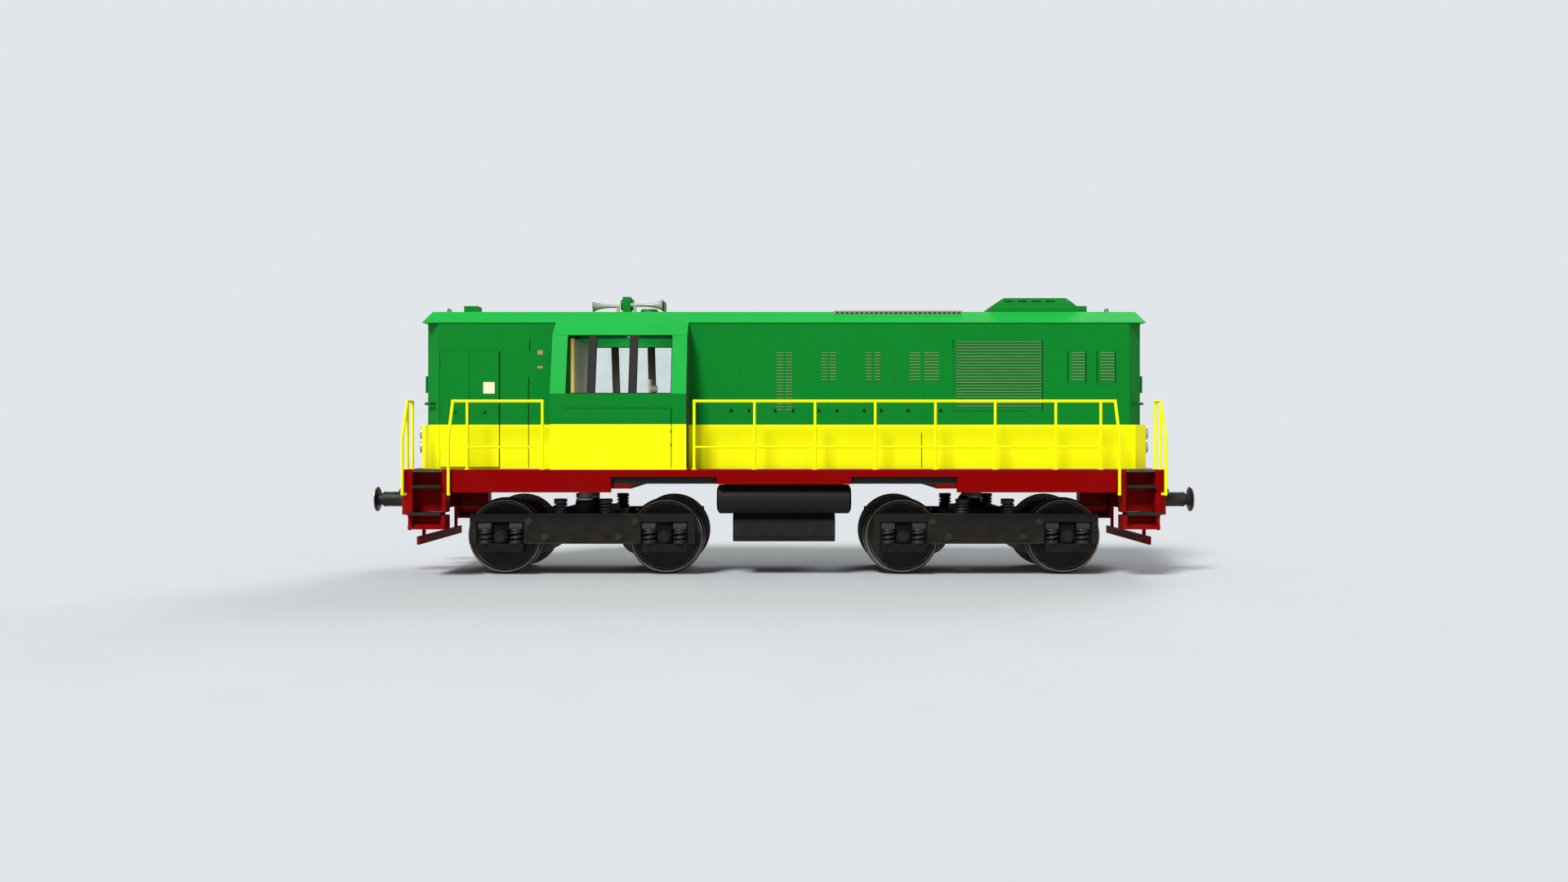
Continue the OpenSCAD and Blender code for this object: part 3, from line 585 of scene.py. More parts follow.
# Louvre fields: x ranges of the slots, lowest and highest slot
LOUVRES = (
    (((-0.122, -0.010), (0.023, 0.135)), 2.741, 3.686),
    (((0.623, 0.720), (0.755, 0.867)), 3.241, 3.686),
    (((1.354, 1.452), (1.500, 1.598)), 3.241, 3.686),
    (((2.086, 2.262), (2.330, 2.573)), 3.241, 3.686),
    (((4.768, 4.995), (5.254, 5.487)), 3.241, 3.686),
)
SLOT_PITCH = 0.0494
RADIATOR_PITCH = 0.0484
RADIATOR_ROWS = 23


# Extra louvre columns of the end compartment stand in their own thin frames
END_FRAMES = ((4.705, 5.003), (5.193, 5.492))
# x and top of each seam beside the short hood's doors
SHORT_SEAMS = ((-5.708, 3.717), (-4.727, 3.717), (-4.239, 3.283))
# the same on the long hood's yellow band
YELLOW_SEAMS = ((2.284, 2.37), (2.527, 2.28), (4.517, 2.0), (5.261, 2.05))


def door_leaves():
    """Flush sheet doors in pairs along the long hood, a little proud, with a fine gap between them."""
    shape = Shape()
    gap = 0.002
    for side in SIDES:
        y = both(WALL_Y - 0.01, WALL_Y + 0.0025, side)
        for centre, width, _ in LONG_DOORS:
            for start in (centre - width / 2, centre):
                shape.box((start + gap, start + width / 2 - gap), y, (DOOR_FOOT_Z, DOOR_TOP_Z))
        for low, high in END_FRAMES:
            shape.box((low, high), y, (3.17, 3.75))
    shape.piece("long_hood_doors", "body", slot="green_body", bevel=0.001)


def seams():
    """Fine dark joints between the fixed panels of the hoods and of the cab's sides."""
    green, yellow = Shape(), Shape()
    line = 0.0075

    def upright(x, wall, low, high, side):
        y = both(wall - 0.004, wall + 0.0012, side)
        if low < BAND_Z:
            yellow.box((x - line, x + line), y, (low, min(high, BAND_Z)))
        if high > BAND_Z:
            green.box((x - line, x + line), y, (max(low, BAND_Z), high))

    for side in SIDES:
        for x, top in SHORT_SEAMS + YELLOW_SEAMS:
            upright(x, WALL_Y + (0.0025 if top < BAND_Z and x < 3 else 0.0), DECK_Z + 0.02, top, side)
        upright(-4.219, WALL_Y, 3.72, 3.91, side)
        for x in (GRILLE_LOW[0] - line, GRILLE_HIGH[0] + line):
            upright(x, WALL_Y, GRILLE_LOW[2], GRILLE_HIGH[2], side)
        upright(-1.82, CAB_HIGH[1], DECK_Z + 0.02, 2.755, side)
        side_face = both(CAB_HIGH[1] - 0.004, CAB_HIGH[1] + 0.0012, side)
        green.box((-3.55, -1.82), side_face, (2.752, 2.760))
        for z in (2.16, 2.38):
            green.box((-1.835, -1.812), side_face, (z - 0.02, z + 0.02))
        wall_face = both(WALL_Y - 0.004, WALL_Y + 0.0012, side)
        green.box((GRILLE_LOW[0], GRILLE_HIGH[0] - 0.25), wall_face, (2.722, 2.728))
        for x in (4.711, 5.011, 5.199, 5.500):
            green.box((x - line, x + line), both(WALL_Y - 0.004, WALL_Y + 0.0035, side), (3.20, 3.72))
    green.piece("green_seams", "seam", slot="green_body")
    yellow.piece("yellow_seams", "yellow_seam", slot="green_body")


def louvres():
    """Pressed louvres: a lit lip over each dark slot, a thin box whose dark paint is painted shade in the
    opening.
    """
    lips, slots = Shape(), Shape()

    def slot(x, z, side, height):
        slots.box(x, both(WALL_Y - 0.002, WALL_Y + 0.003, side), (z - 0.001, z + 0.002))
        outline = [(WALL_Y - 0.002, z + height), (WALL_Y + 0.003, z + height),
                   (WALL_Y + 0.010, z + height * 0.5),
                   (WALL_Y + 0.010, z + 0.001), (WALL_Y - 0.002, z + 0.001)]
        lips.prism([(side * u, v) for u, v in outline], x[0], x[1])

    for side in SIDES:
        for columns, low, high in LOUVRES:
            rows = round((high - low) / SLOT_PITCH)
            for x in columns:
                for row in range(rows + 1):
                    slot(x, low + (high - low) * row / rows, side, 0.009)
        for row in range(RADIATOR_ROWS):
            z = GRILLE_LOW[2] + 0.088 + row * RADIATOR_PITCH
            slot((GRILLE_LOW[0] + 0.04, GRILLE_HIGH[0] - 0.004), z, side, 0.008)
        for low, high in ((3.43, 3.47), (3.66, 3.73)):
            lips.box((-4.09, -4.0), both(WALL_Y - 0.002, WALL_Y + 0.006, side), (low, high))
    lips.piece("louvre_lips", "beige", slot="beige_grille")
    slots.piece("louvre_slots", "slot", slot="green_body")


def plates():
    """A blank plate on the right inner leaf of the short hood's doors."""
    shape = Shape()
    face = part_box("hood_door_right_2")[0][1] + 0.030
    shape.box((-4.984, -4.795), (face - 0.0025, face + 0.001), (3.013, 3.202))
    shape.piece("blank_plate", "plate", "right_hood_inner_leaf", "beige_grille", bevel=0.001)


def handles():
    """Square recessed latches on the hood doors, with a short turning lever on each."""
    shape = Shape()
    for side in SIDES:
        for _, _, xs in LONG_DOORS:
            for x in xs:
                shape.box((x - 0.024, x + 0.024), both(WALL_Y + 0.001, WALL_Y + 0.012, side),
                          (HANDLE_Z - 0.024, HANDLE_Z + 0.024))
                shape.box((x - 0.007, x + 0.007), both(WALL_Y + 0.01, WALL_Y + 0.026, side),
                          (HANDLE_Z - 0.02, HANDLE_Z + 0.02))
    shape.piece("hood_door_handles", "rubber", slot="black_buffer", bevel=0.002)


# ---------------------------------------------------------------- running gear

def coil_points(x, y, low, high, radius, turns, steps=20):
    """A helix with closed, flat end turns."""
    count = turns * steps
    points = []
    for k in range(count + 1):
        t = k / steps
        rise = min(max((t - 0.75) / (turns - 1.5), 0.0), 1.0)
        angle = 2 * math.pi * t
        points.append((x + radius * math.cos(angle), y + radius * math.sin(angle), low + (high - low) * rise))
    return points


PRIMARY_X = 0.25  # of a primary spring from its axle
PRIMARY_R = 0.097  # centre line of a primary spring's turns
PRIMARY_WIRE_R = 0.018
SECONDARY_R = 0.094  # and of a secondary spring's
SECONDARY_WIRE_R = 0.02
SECONDARY_CORE_R = 0.078  # of the rubber stop inside it
SECONDARY = (0.375, 1.065)  # of a secondary spring from the bogie's centre, along and across
SIDE_TOP = 1.032  # of a bogie's side plates
PIVOT_X = 3.317
WHEELBASE_HALF = 1.35


def springs(end):
    """Coil springs over the axle boxes and between bogie and body, with their seats."""
    centre = PIVOT_X if end == "front" else -PIVOT_X
    coils, seats = Shape(), Shape()
    low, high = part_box(end + "_bogie_springs")
    seat_thick = 0.006
    for y in (-1.09, 1.09):
        for axle in (-WHEELBASE_HALF, WHEELBASE_HALF):
            for s in SIDES:
                x = centre + axle + s * PRIMARY_X
                coils.tube(coil_points(x, y, low[2] + 0.032, 0.762, PRIMARY_R, 4), PRIMARY_WIRE_R, 10)
                seats.rod((x, y, low[2]), (x, y, low[2] + 0.014), 0.112, 32)
                seats.rod((x, y, low[2] + 0.01), (x, y, 0.778), 0.045, 20)
    for s in SIDES:
        for side in SIDES:
            x, y = centre + s * SECONDARY[0], side * SECONDARY[1]
            clear = seat_thick + SECONDARY_WIRE_R
            coils.tube(coil_points(x, y, SIDE_TOP + clear, high[2] - clear, SECONDARY_R, 5),
                       SECONDARY_WIRE_R, 10)
            for z in (SIDE_TOP, high[2] - seat_thick):
                seats.rod((x, y, z), (x, y, z + seat_thick), 0.108, 32)
            seats.rod((x, y, SIDE_TOP), (x, y, high[2] - 0.002), SECONDARY_CORE_R, 24)
    body = end + "_bogie"
    coils.piece(end + "_coils", "spring", body, "black_spring", smooth=60,
                stands_for=(end + "_bogie_springs",))
    seats.piece(end + "_spring_seats", "lit_black", body, "black_bogie")


def bogie_details(end):
    """Hex bolts, round bosses on the axle boxes, brake shoes on their hangers and lit spring caps."""
    centre = PIVOT_X if end == "front" else -PIVOT_X
    body = end + "_bogie"
    bolts, covers, brakes, shoes = Shape(), Shape(), Shape(), Shape()
    plate_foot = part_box(end + "_bogie_frame")[0][2]
    outer = 1.18
    box_face = 1.125
    axle_z = FLANGE_R
    for side in SIDES:
        for s in SIDES:
            for dx, z in ((0.875, 0.893), (0.61, 0.643)):
                x = centre + s * dx
                bolts.rod((x, side * (outer + 0.010), z), (x, side * (outer + 0.028), z), 0.052, 6)
                bolts.rod((x, side * (outer + 0.010), z), (x, side * (outer + 0.036), z), 0.026, 20)
                bolts.lathe([(0.008, 0.0), (0.008, 0.066), (0.015, 0.066), (0.015, 0.0)],
                            (x, side * outer, z), (0, side, 0), 32)
            x = centre + s * WHEELBASE_HALF
            covers.lathe([(0.0, 0), (0.0, 0.112), (0.018, 0.112), (0.022, 0.1), (0.022, 0.086), (0.06, 0.082),
                          (0.068, 0.074), (0.068, 0)], (x, side * (box_face + 0.002), axle_z), (0, side, 0),
                          40)
            for k in range(6):
                angle = math.radians(60 * k + 30)
                u, v = x + 0.098 * math.cos(angle), axle_z + 0.098 * math.sin(angle)
                covers.rod((u, side * (box_face + 0.016), v), (u, side * (box_face + 0.032), v), 0.009, 6)
            for t in SIDES:
                # cap over each primary spring, standing in its window
                px = x + t * 0.255
                bolts.prism([(side * 1.135, 0.781), (side * 1.186, 0.781), (side * 1.186, 0.80),
                             (side * 1.15, 0.885),
                             (side * 1.135, 0.885)], px - 0.108, px + 0.108)
            # brake shoe on the wheel's inner side, on a hanger from the frame
            inward = -s
            wheel_r = 0.618
            arc = [math.radians(a) for a in range(-22, 23, 4)]
            inner = [(x + inward * wheel_r * math.cos(a), axle_z + wheel_r * math.sin(a)) for a in arc]
            back = [(x + inward * (wheel_r + 0.05) * math.cos(a),
                     axle_z + (wheel_r + 0.05) * math.sin(a)) for a in reversed(arc)]
            y0, y1 = sorted((side * 0.745, side * 0.815))
            shoes.prism(inner + back, y0, y1, "Y")
            hx = x + inward * (wheel_r + 0.055)
            for y in (0.765, 0.805):
                brakes.rod((hx, side * y, axle_z - 0.05), (hx + inward * 0.03, side * y, 0.99), 0.013, 10)
            brakes.rod((hx + inward * 0.03, side * 0.74, 0.985), (hx + inward * 0.03, side * 1.1, 0.985),
                       0.018, 14)
            brakes.rod((hx, side * 0.74, axle_z), (hx, side * 0.85, axle_z), 0.022, 14)
    for side in SIDES:
        # stiffening flanges along the foot and the top of the side plate
        for z0, z1 in ((plate_foot, plate_foot + 0.016), (1.016, 1.033)):
            bolts.box((centre - 0.9, centre + 0.9), both(outer - 0.02, outer + 0.008, side), (z0, z1))
    bolts.piece(end + "_frame_details", "lit_black", body, "black_bogie", bevel=0.002)
    covers.piece(end + "_axle_covers", "black", body, "black_bogie")
    brakes.piece(end + "_brake_hangers", "lit_black", body, "black_bogie")
    shoes.piece(end + "_brake_shoes", "spring", body, "black_bogie", bevel=0.003)


def wheels():
    for name, centre in AXLES.items():
        dress(wheel_finish(name + "_finish", centre), name)
        bend = CAD[name].modifiers.new("edges", "BEVEL")
        bend.width = 0.003
        bend.segments = 2
        bend.limit_method = "ANGLE"
        bend.angle_limit = math.radians(40)


# ---------------------------------------------------------------- ends

BUFFER_Y = 0.875
BUFFER_Z = 1.259
BUFFER_FACE_X = CAD_BOUNDS[1][0]


def buffers():
    """Buffers with a domed head and its bright rim, a plunger, a flanged sleeve and its bolts. The rim's pale
    steel is partly bare metal and partly painted highlight.
    """
    housing, plunger, heads, rims = Shape(), Shape(), Shape(), Shape()
    for end in SIDES:
        for side in SIDES:
            axis = (end, 0, 0)
            base = (end * HEADSTOCK_X, side * BUFFER_Y, BUFFER_Z)
            reach = BUFFER_FACE_X - HEADSTOCK_X
            housing.lathe([(0, 0), (0, 0.165), (0.022, 0.165), (0.026, 0.16), (0.026, 0.134), (0.05, 0.125),
                           (0.40, 0.120), (0.43, 0.124), (0.452, 0.124), (0.458, 0.118), (0.458, 0)],
                          base, axis)
            plunger.lathe([(0.4, 0), (0.4, 0.1), (reach - 0.045, 0.1), (reach - 0.03, 0.128),
                           (reach - 0.03, 0)], base, axis)
            dome = [(reach - 0.012 * (r / 0.204) ** 2, r) for r in (0.0, 0.06, 0.11, 0.15, 0.18, 0.198)]
            heads.lathe([(reach - 0.034, 0), (reach - 0.034, 0.194), (reach - 0.028, 0.203),
                         (reach - 0.016, 0.204)] + dome[::-1], base, axis, 64)
            # bright rim round each head: partly bare steel, partly painted highlight
            rims.lathe([(reach - 0.029, 0.199), (reach - 0.029, 0.2045), (reach - 0.015, 0.2045),
                        (reach - 0.015, 0.199), (reach - 0.029, 0.199)], base, axis, 64)
            for k in range(4):
                angle = math.radians(45 + 90 * k)
                place = Vector(base) + Vector((0, 0.145 * math.cos(angle), 0.145 * math.sin(angle)))
                housing.rod(place, place + Vector((end * 0.045, 0, 0)), 0.016, 6)
    housing.piece("buffer_sleeves", "buffer", slot="black_buffer", stands_for=("buffers",))
    plunger.piece("buffer_plungers", "buffer", slot="black_buffer")
    heads.piece("buffer_heads", "steel", slot="black_buffer")
    rims.piece("buffer_rims", "bright", slot="black_buffer")


LAMP_Y = 0.62
LAMP_Z = (2.357, 2.124)


def headlamps():
    """Two lamps one over the other on each side of the nose, and one large lamp on each hood's end."""
    rims, top_rims, lenses = Shape(), Shape(), Shape()
    for end in SIDES:
        for side in SIDES:
            for z in LAMP_Z:
                base = (end * NOSE_X, side * LAMP_Y, z)
                rims.lathe([(0, 0), (0, 0.102), (0.044, 0.102), (0.051, 0.096), (0.046, 0.086),
                            (0.034, 0.084), (0.034, 0)],
                           base, (end, 0, 0), 40)
                lenses.lathe([(0.03, 0), (0.03, 0.085), (0.036, 0.084), (0.043, 0.06), (0.047, 0.03),
                              (0.048, 0)],
                             base, (end, 0, 0), 40)
        base = (end * HOOD_END_X, 0, 3.165)
        top_rims.lathe([(0, 0), (0, 0.165), (0.020, 0.165), (0.028, 0.157), (0.024, 0.138), (0.014, 0.134),
                        (0.014, 0)], base, (end, 0, 0), 48)
        lenses.lathe([(0.01, 0), (0.01, 0.135), (0.018, 0.134), (0.026, 0.09), (0.029, 0.045), (0.030, 0)],
                     base, (end, 0, 0), 48)
    rims.piece("lamp_rims", "bright", slot="lamp_glass", stands_for=("headlamps",))
    top_rims.piece("top_lamp_rims", "green", slot="green_body")
    lenses.piece("lamp_lenses", "lens", slot="lamp_glass")


# ---------------------------------------------------------------- cab

CAB_MID_X = (CAB_LOW[0] + CAB_HIGH[0]) / 2
LEAN = 0.24 / 0.97  # how far the cab's side leans in for each metre above the sill
HEAD_Z = CAB_HIGH[2]
WINDOW_X = (-3.534, -1.82)  # ends of a side window
POST_W = 0.115


def lean_y(z, inset=0.0):
    """Y of the cab's leaning side at a height, measured inwards by inset."""
    return CAB_HIGH[1] - inset - (z - SILL_Z) * LEAN


def gaskets():
    """Rubber beads round the side panes, and the drip rails over them."""
    rubber, rails = Shape(), Shape()
    posts_low, posts_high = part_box("cab_window_posts")
    first, second = posts_low[0] + POST_W / 2, posts_high[0] - POST_W / 2
    edges = ((WINDOW_X[0], first - POST_W / 2), (first + POST_W / 2, second - POST_W / 2),
             (second + POST_W / 2, WINDOW_X[1]))
    for side in SIDES:
        for x0, x1 in edges:
            corners = [(x0 + 0.006, SILL_Z + 0.007), (x1 - 0.006, SILL_Z + 0.007),
                       (x1 - 0.006, HEAD_Z - 0.008), (x0 + 0.006, HEAD_Z - 0.008)]
            loop = [(x, side * lean_y(z, 0.016), z) for x, z in corners]
            for a, b in zip(loop, loop[1:] + loop[:1]):
                rubber.rod(a, b, 0.007, 8)
        rails.box((CAB_LOW[0] + 0.05, CAB_HIGH[0] - 0.05),
                  both(lean_y(HEAD_Z) - 0.006, lean_y(HEAD_Z) + 0.004, side),
                  (HEAD_Z - 0.004, HEAD_Z + 0.004))
    rubber.piece("window_gaskets", "rubber", slot="black_buffer")
    rails.piece("drip_rails", "light_green", slot="green_roof", bevel=0.002)


def wipers():
    """An arm and blade hanging over each end pane, on its own little motor box."""
    shape = Shape()
    for end, side in ((1, 1), (-1, -1)):
        x = CAB_HIGH[0] + 0.004 if end > 0 else CAB_LOW[0] - 0.004
        y = side * 1.2
        shape.box((x, x + end * 0.03) if end > 0 else (x + end * 0.03, x), both(1.17, 1.23, side),
                  (3.70, 3.76))
        shape.rod((x + end * 0.03, y, 3.73), (x + end * 0.03, y, 3.40), 0.006, 8)
        shape.box((x + end * 0.012, x + end * 0.024) if end > 0 else (x + end * 0.024, x + end * 0.012),
                  both(1.194, 1.206, side), (3.12, 3.55))
    shape.piece("wipers", "rubber", slot="black_buffer")


def cab_lining():
    """Ceiling boards with two lamps, and a boarded floor, seen through the windows. The boards' dark green is
    partly their own colour and partly painted shade under the roof.
    """
    ceiling, floor_boards, lamps = Shape(), Shape(), Shape()
    boards = 5
    width = 2.18 / boards
    for k in range(boards):
        y0 = -1.09 + k * width
        ceiling.box((CAB_LOW[0] + 0.05, CAB_HIGH[0] - 0.05), (y0 + 0.003, y0 + width - 0.003),
                    (CEILING_Z - 0.014, CEILING_Z + 0.002))
    for k in range(8):
        y0 = -1.2 + k * 0.3
        floor_boards.box((CAB_LOW[0] + 0.26, CAB_HIGH[0] - 0.28), (y0 + 0.002, y0 + 0.298),
                         (DECK_Z - 0.002, DECK_Z + 0.008))
    for y in (-0.45, 0.45):
        lamps.lathe([(0, 0), (0, 0.11), (0.03, 0.1), (0.045, 0.06), (0.05, 0)],
                    (CAB_MID_X, y, CEILING_Z - 0.014),
                    (0, 0, -1), 32)
    ceiling.piece("cab_ceiling_boards", "ceiling", slot="black_buffer", bevel=0.002)
    floor_boards.piece("cab_floor_boards", "rubber", slot="black_buffer", bevel=0.002)
    lamps.piece("cab_ceiling_lamps", "lens", slot="lamp_glass")


def cushion(name, low, high, crown, seams_x=(), turn=0.0, pivot=None):
    """A crowned cushion between two corners, its sides pulled in between the corners, with sewn channels."""
    mesh = bmesh.new()
    count = 14
    centre = [(a + b) / 2 for a, b in zip(low, high)]
    half = [(b - a) / 2 for a, b in zip(low, high)]
    matrix = Matrix.Diagonal((*(2 * h for h in half), 1))
    bmesh.ops.create_cube(mesh, size=1, matrix=matrix)
    bmesh.ops.subdivide_edges(mesh, edges=mesh.edges, cuts=count, use_grid_fill=True)
    thin = min(range(3), key=lambda axis: half[axis])
    wide = [axis for axis in range(3) if axis != thin]
    for vert in mesh.verts:
        u, v = (vert.co[axis] / half[axis] for axis in wide)
        w = vert.co[thin] / half[thin]
        bulge = max(0.0, (1 - u * u) * (1 - v * v))
        corner = max(abs(u), abs(v))
        # crown in the middle, falling off to a rounded border
        drop = 0.35 * max(0.0, corner - 0.86) / 0.14
        vert.co[thin] = half[thin] * w * (1 - crown + crown * bulge ** 0.5 - drop * abs(w))
        for axis, other in zip(wide, wide[::-1]):
            pull = 0.03 * (1 - (vert.co[other] / half[other]) ** 2)
            vert.co[axis] *= 1 - pull
        for seam in seams_x:
            near = math.exp(-((v - seam) / 0.05) ** 2)
            if abs(w) > 0.9 and corner < 0.93:
                vert.co[thin] -= math.copysign(0.014 * near, w)
    turn_matrix = Matrix.Translation(pivot or centre) @ Matrix.Rotation(turn, 4, "Y") @ \
        Matrix.Translation(Vector(centre) - Vector(pivot or centre))
    mesh.transform(turn_matrix)
    data = bpy.data.meshes.new(name)
    bmesh.ops.recalc_face_normals(mesh, faces=mesh.faces)
    mesh.to_mesh(data)
    mesh.free()
    data.polygons.foreach_set("use_smooth", [True] * len(data.polygons))
    data.materials.append(M["seat"])
    thing = bpy.data.objects.new(name, data)
    bpy.context.scene.collection.objects.link(thing)
    smooth = thing.modifiers.new("soft", "SUBSURF")
    smooth.levels = 1
    smooth.render_levels = 1
    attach(thing, BODY)
    return thing


SEAT_X = -2.8
SEAT_YS = (-0.35, 0.45)


def seats():
    """Two driver's chairs: a pedestal on a foot plate, a pan, a cushion, a back and two arms."""
    stands = Shape()
    for index, y in enumerate(SEAT_YS):
        seat_z = DECK_Z + 0.42
        stands.lathe([(0, 0), (0, 0.18), (0.012, 0.18), (0.03, 0.12), (0.05, 0.062), (0.2, 0.055),
                      (0.2, 0.045),
                      (0.40, 0.045), (0.405, 0.1), (0.42, 0.15), (0.425, 0.15), (0.425, 0)],
                     (SEAT_X, y, DECK_Z), (0, 0, 1), 36)
        stands.box((SEAT_X - 0.2, SEAT_X + 0.2), (y - 0.21, y + 0.21), (seat_z, seat_z + 0.02))
        for arm in SIDES:
            stands.rod((SEAT_X - 0.21, y + arm * 0.235, seat_z + 0.06),
                       (SEAT_X - 0.23, y + arm * 0.235, seat_z + 0.27), 0.012)
            stands.rod((SEAT_X - 0.23, y + arm * 0.235, seat_z + 0.27),
                       (SEAT_X + 0.08, y + arm * 0.235, seat_z + 0.27), 0.016)
        cushion(f"seat_cushion_{index + 1}", (SEAT_X - 0.215, y - 0.225, seat_z + 0.018),
                (SEAT_X + 0.22, y + 0.225, seat_z + 0.118), 0.3, (-0.4, 0.4))
        cushion(f"seat_back_{index + 1}", (SEAT_X - 0.295, y - 0.215, seat_z + 0.1),
                (SEAT_X - 0.215, y + 0.215, seat_z + 0.63), 0.3, (-0.4, 0.4), math.radians(-8),
                (SEAT_X - 0.25, y, seat_z))
    stands.piece("seat_stands", "dark", slot="dark_seat", bevel=0.003, stands_for=("driver_seats",))


def desk_details():
    """Plain gauges, switches and two levers on the desk's slope."""
    bezels, dials, marks = Shape(), Shape(), Shape()
    slope = Vector((0.44, 0, 0.14)).normalized()  # up the desk's top face
    out = Vector((-slope.z, 0, slope.x))
    start = Vector((-2.32, 0, 2.66))
    for k, y in enumerate((-0.45, -0.25, -0.05, 0.15, 0.35, 0.55)):
        place = start + slope * 0.34 + Vector((0, y, 0))
        bezels.lathe([(0, 0), (0, 0.075), (0.022, 0.075), (0.028, 0.069), (0.022, 0.063), (0.012, 0.062),
                      (0.012, 0)],
                     place, out, 36)
        dials.lathe([(0.01, 0), (0.01, 0.061), (0.014, 0.061), (0.014, 0)], place, out, 36)
        needle = place + out * 0.016
        turn = math.radians(-120 + 37 * k)
        tip = needle + 0.045 * (slope * math.cos(turn) + Vector((0, 1, 0)) * math.sin(turn))
        marks.rod(needle, tip, 0.0025, 6)
        for tick in range(11):
            angle = math.radians(-130 + 26 * tick)
            ray = slope * math.cos(angle) + Vector((0, 1, 0)) * math.sin(angle)
            marks.rod(place + out * 0.0145 + ray * 0.048, place + out * 0.0145 + ray * 0.057, 0.0018, 5)
    for k in range(12):
        place = start + slope * 0.18 + Vector((0, -0.5 + 0.1 * k, 0))
        bezels.rod(place, place + out * 0.02, 0.012, 12)
        marks.rod(place + out * 0.02, place + out * 0.038, 0.005, 8)
    for y in (-0.3, 0.3):
        foot = start + slope * 0.07 + Vector((0, y, 0))
        bezels.rod(foot, foot + out * 0.12 - slope * 0.03, 0.008, 10)
        marks.lathe([(0, 0), (0.006, 0.016), (0.022, 0.022), (0.038, 0.016), (0.044, 0)],
                    foot + out * 0.115 - slope * 0.03, out, 20)
    bezels.piece("gauge_rims", "dark", slot="grey_desk")
    dials.piece("gauge_dials", "dial", slot="grey_desk")
    marks.piece("gauge_needles_and_knobs", "rubber", slot="grey_desk")


# ---------------------------------------------------------------- roof

FAN_X = 4.237
COWL_FACE_Y = 0.6235  # of the cowl's side where its slots are
COWL_SLOTS = ((3.72, 3.86), (3.95, 4.10), (4.18, 4.34), (4.42, 4.58))


def fan_guard():
    """Rings and spokes of wire over the fan's opening, and dark slots in the cowl's sides, thin boxes of
    painted shade.
    """
    guard, slots = Shape(), Shape()
    x, z = FAN_X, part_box("fan_cowl")[1][2] - 0.012
    for radius in [0.05 + 0.05 * k for k in range(10)]:
        count = 48
        turns = [2 * math.pi * k / count for k in range(count + 1)]
        ring = [(x + radius * math.cos(a), radius * math.sin(a), z) for a in turns]
        guard.tube(ring, 0.0045, 6)
    for k in range(12):
        a = 2 * math.pi * k / 12
        guard.rod((x + 0.05 * math.cos(a), 0.05 * math.sin(a), z - 0.008),
                  (x + 0.497 * math.cos(a), 0.497 * math.sin(a), z - 0.008), 0.005, 6)
    for side in SIDES:
        for x in COWL_SLOTS:
            slots.box(x, both(COWL_FACE_Y - 0.006, COWL_FACE_Y + 0.0035, side), (4.578, 4.598))
    guard.piece("fan_guard", "dark", slot="fan_metal", smooth=80)
    slots.piece("cowl_slots", "slot", slot="black_buffer")


def roof_details():
    """Cover strips over the roof's joints, the engine grating's bars, and the fittings on the hoods' ends."""
    strips, bars, marks, brackets = Shape(), Shape(), Shape(), Shape()
    bevel_top, bevel_foot = (0.7, ROOF_Z), (0.985, EAVE_Z + 0.011)
    for x in (-1.2, 0.42, 0.80, 3.17, 5.30, -4.3, -5.25):
        half = 0.012
        for side in SIDES:
            a = [(side * bevel_top[0], bevel_top[1] + 0.003), (side * bevel_foot[0], bevel_foot[1] + 0.003),
                 (side * (bevel_foot[0] - 0.02), bevel_foot[1] - 0.01),
                 (side * (bevel_top[0] - 0.02), bevel_top[1] - 0.01)]
            strips.prism(a, x - half, x + half)
        strips.box((x - half, x + half), (-0.7, 0.7), (ROOF_Z - 0.004, ROOF_Z + 0.003))
    low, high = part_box("engine_roof_grille")
    count = 30
    for k in range(count):
        x = low[0] + 0.05 + (high[0] - low[0] - 0.1) * k / (count - 1)
        bars.box((x - 0.012, x + 0.012), (-0.72, 0.72), (high[2] - 0.006, high[2] + 0.008))
    for side in SIDES:
        # dark dashes along the grating's sides: painted shade in its gaps
        for k in range(26):
            x = low[0] + 0.06 + (high[0] - low[0] - 0.12) * k / 25
            marks.box((x - 0.026, x + 0.026), both(high[1] - 0.004, high[1] + 0.006, side),
                      (low[2] - 0.008, low[2] + 0.018))
    for end in SIDES:
        for side in SIDES:
            # a small bracket on each corner of the hood's end
            x, y = end * (HOOD_END_X - HOOD_CHAMFER / 2), side * (WALL_Y - HOOD_CHAMFER / 2)
            out = Vector((end, side, 0)).normalized()
            level = Vector((-out.y, out.x, 0))
            centre = Vector((x, y, 2.848)) + out * 0.08
            brackets.rod(centre - level * 0.1, centre + level * 0.1, 0.024, 12)
            for t in (-0.06, 0.06):
                brackets.rod(centre + level * t - out * 0.084, centre + level * t, 0.013, 10)
            # and a hinge plate above it, on the end face
            edge_y = WALL_Y - HOOD_CHAMFER
            brackets.box((end * HOOD_END_X - 0.04, end * HOOD_END_X + 0.04),
                         both(edge_y - 0.055, edge_y - 0.005, side),
                         (3.035, 3.315))
    strips.piece("roof_joint_strips", "light_green", slot="green_roof")
    bars.piece("engine_grille_bars", "beige", slot="beige_grille")
    marks.piece("engine_grille_slots", "slot", slot="black_buffer")
    brackets.piece("lamp_brackets", "dark_green", slot="green_body")


# ---------------------------------------------------------------- frame and deck

POST_XS = (-1.456, -0.478, 0.504, 1.48, 2.456, 3.425, 4.407, 5.137, -3.916, -5.137)
POST_Y = 1.45
END_POST_X = 6.12
END_POST_YS = (1.4, 1.13)
HOSE_Y = 0.42
HOSE_Z = 1.2
HOSE_R = 0.022


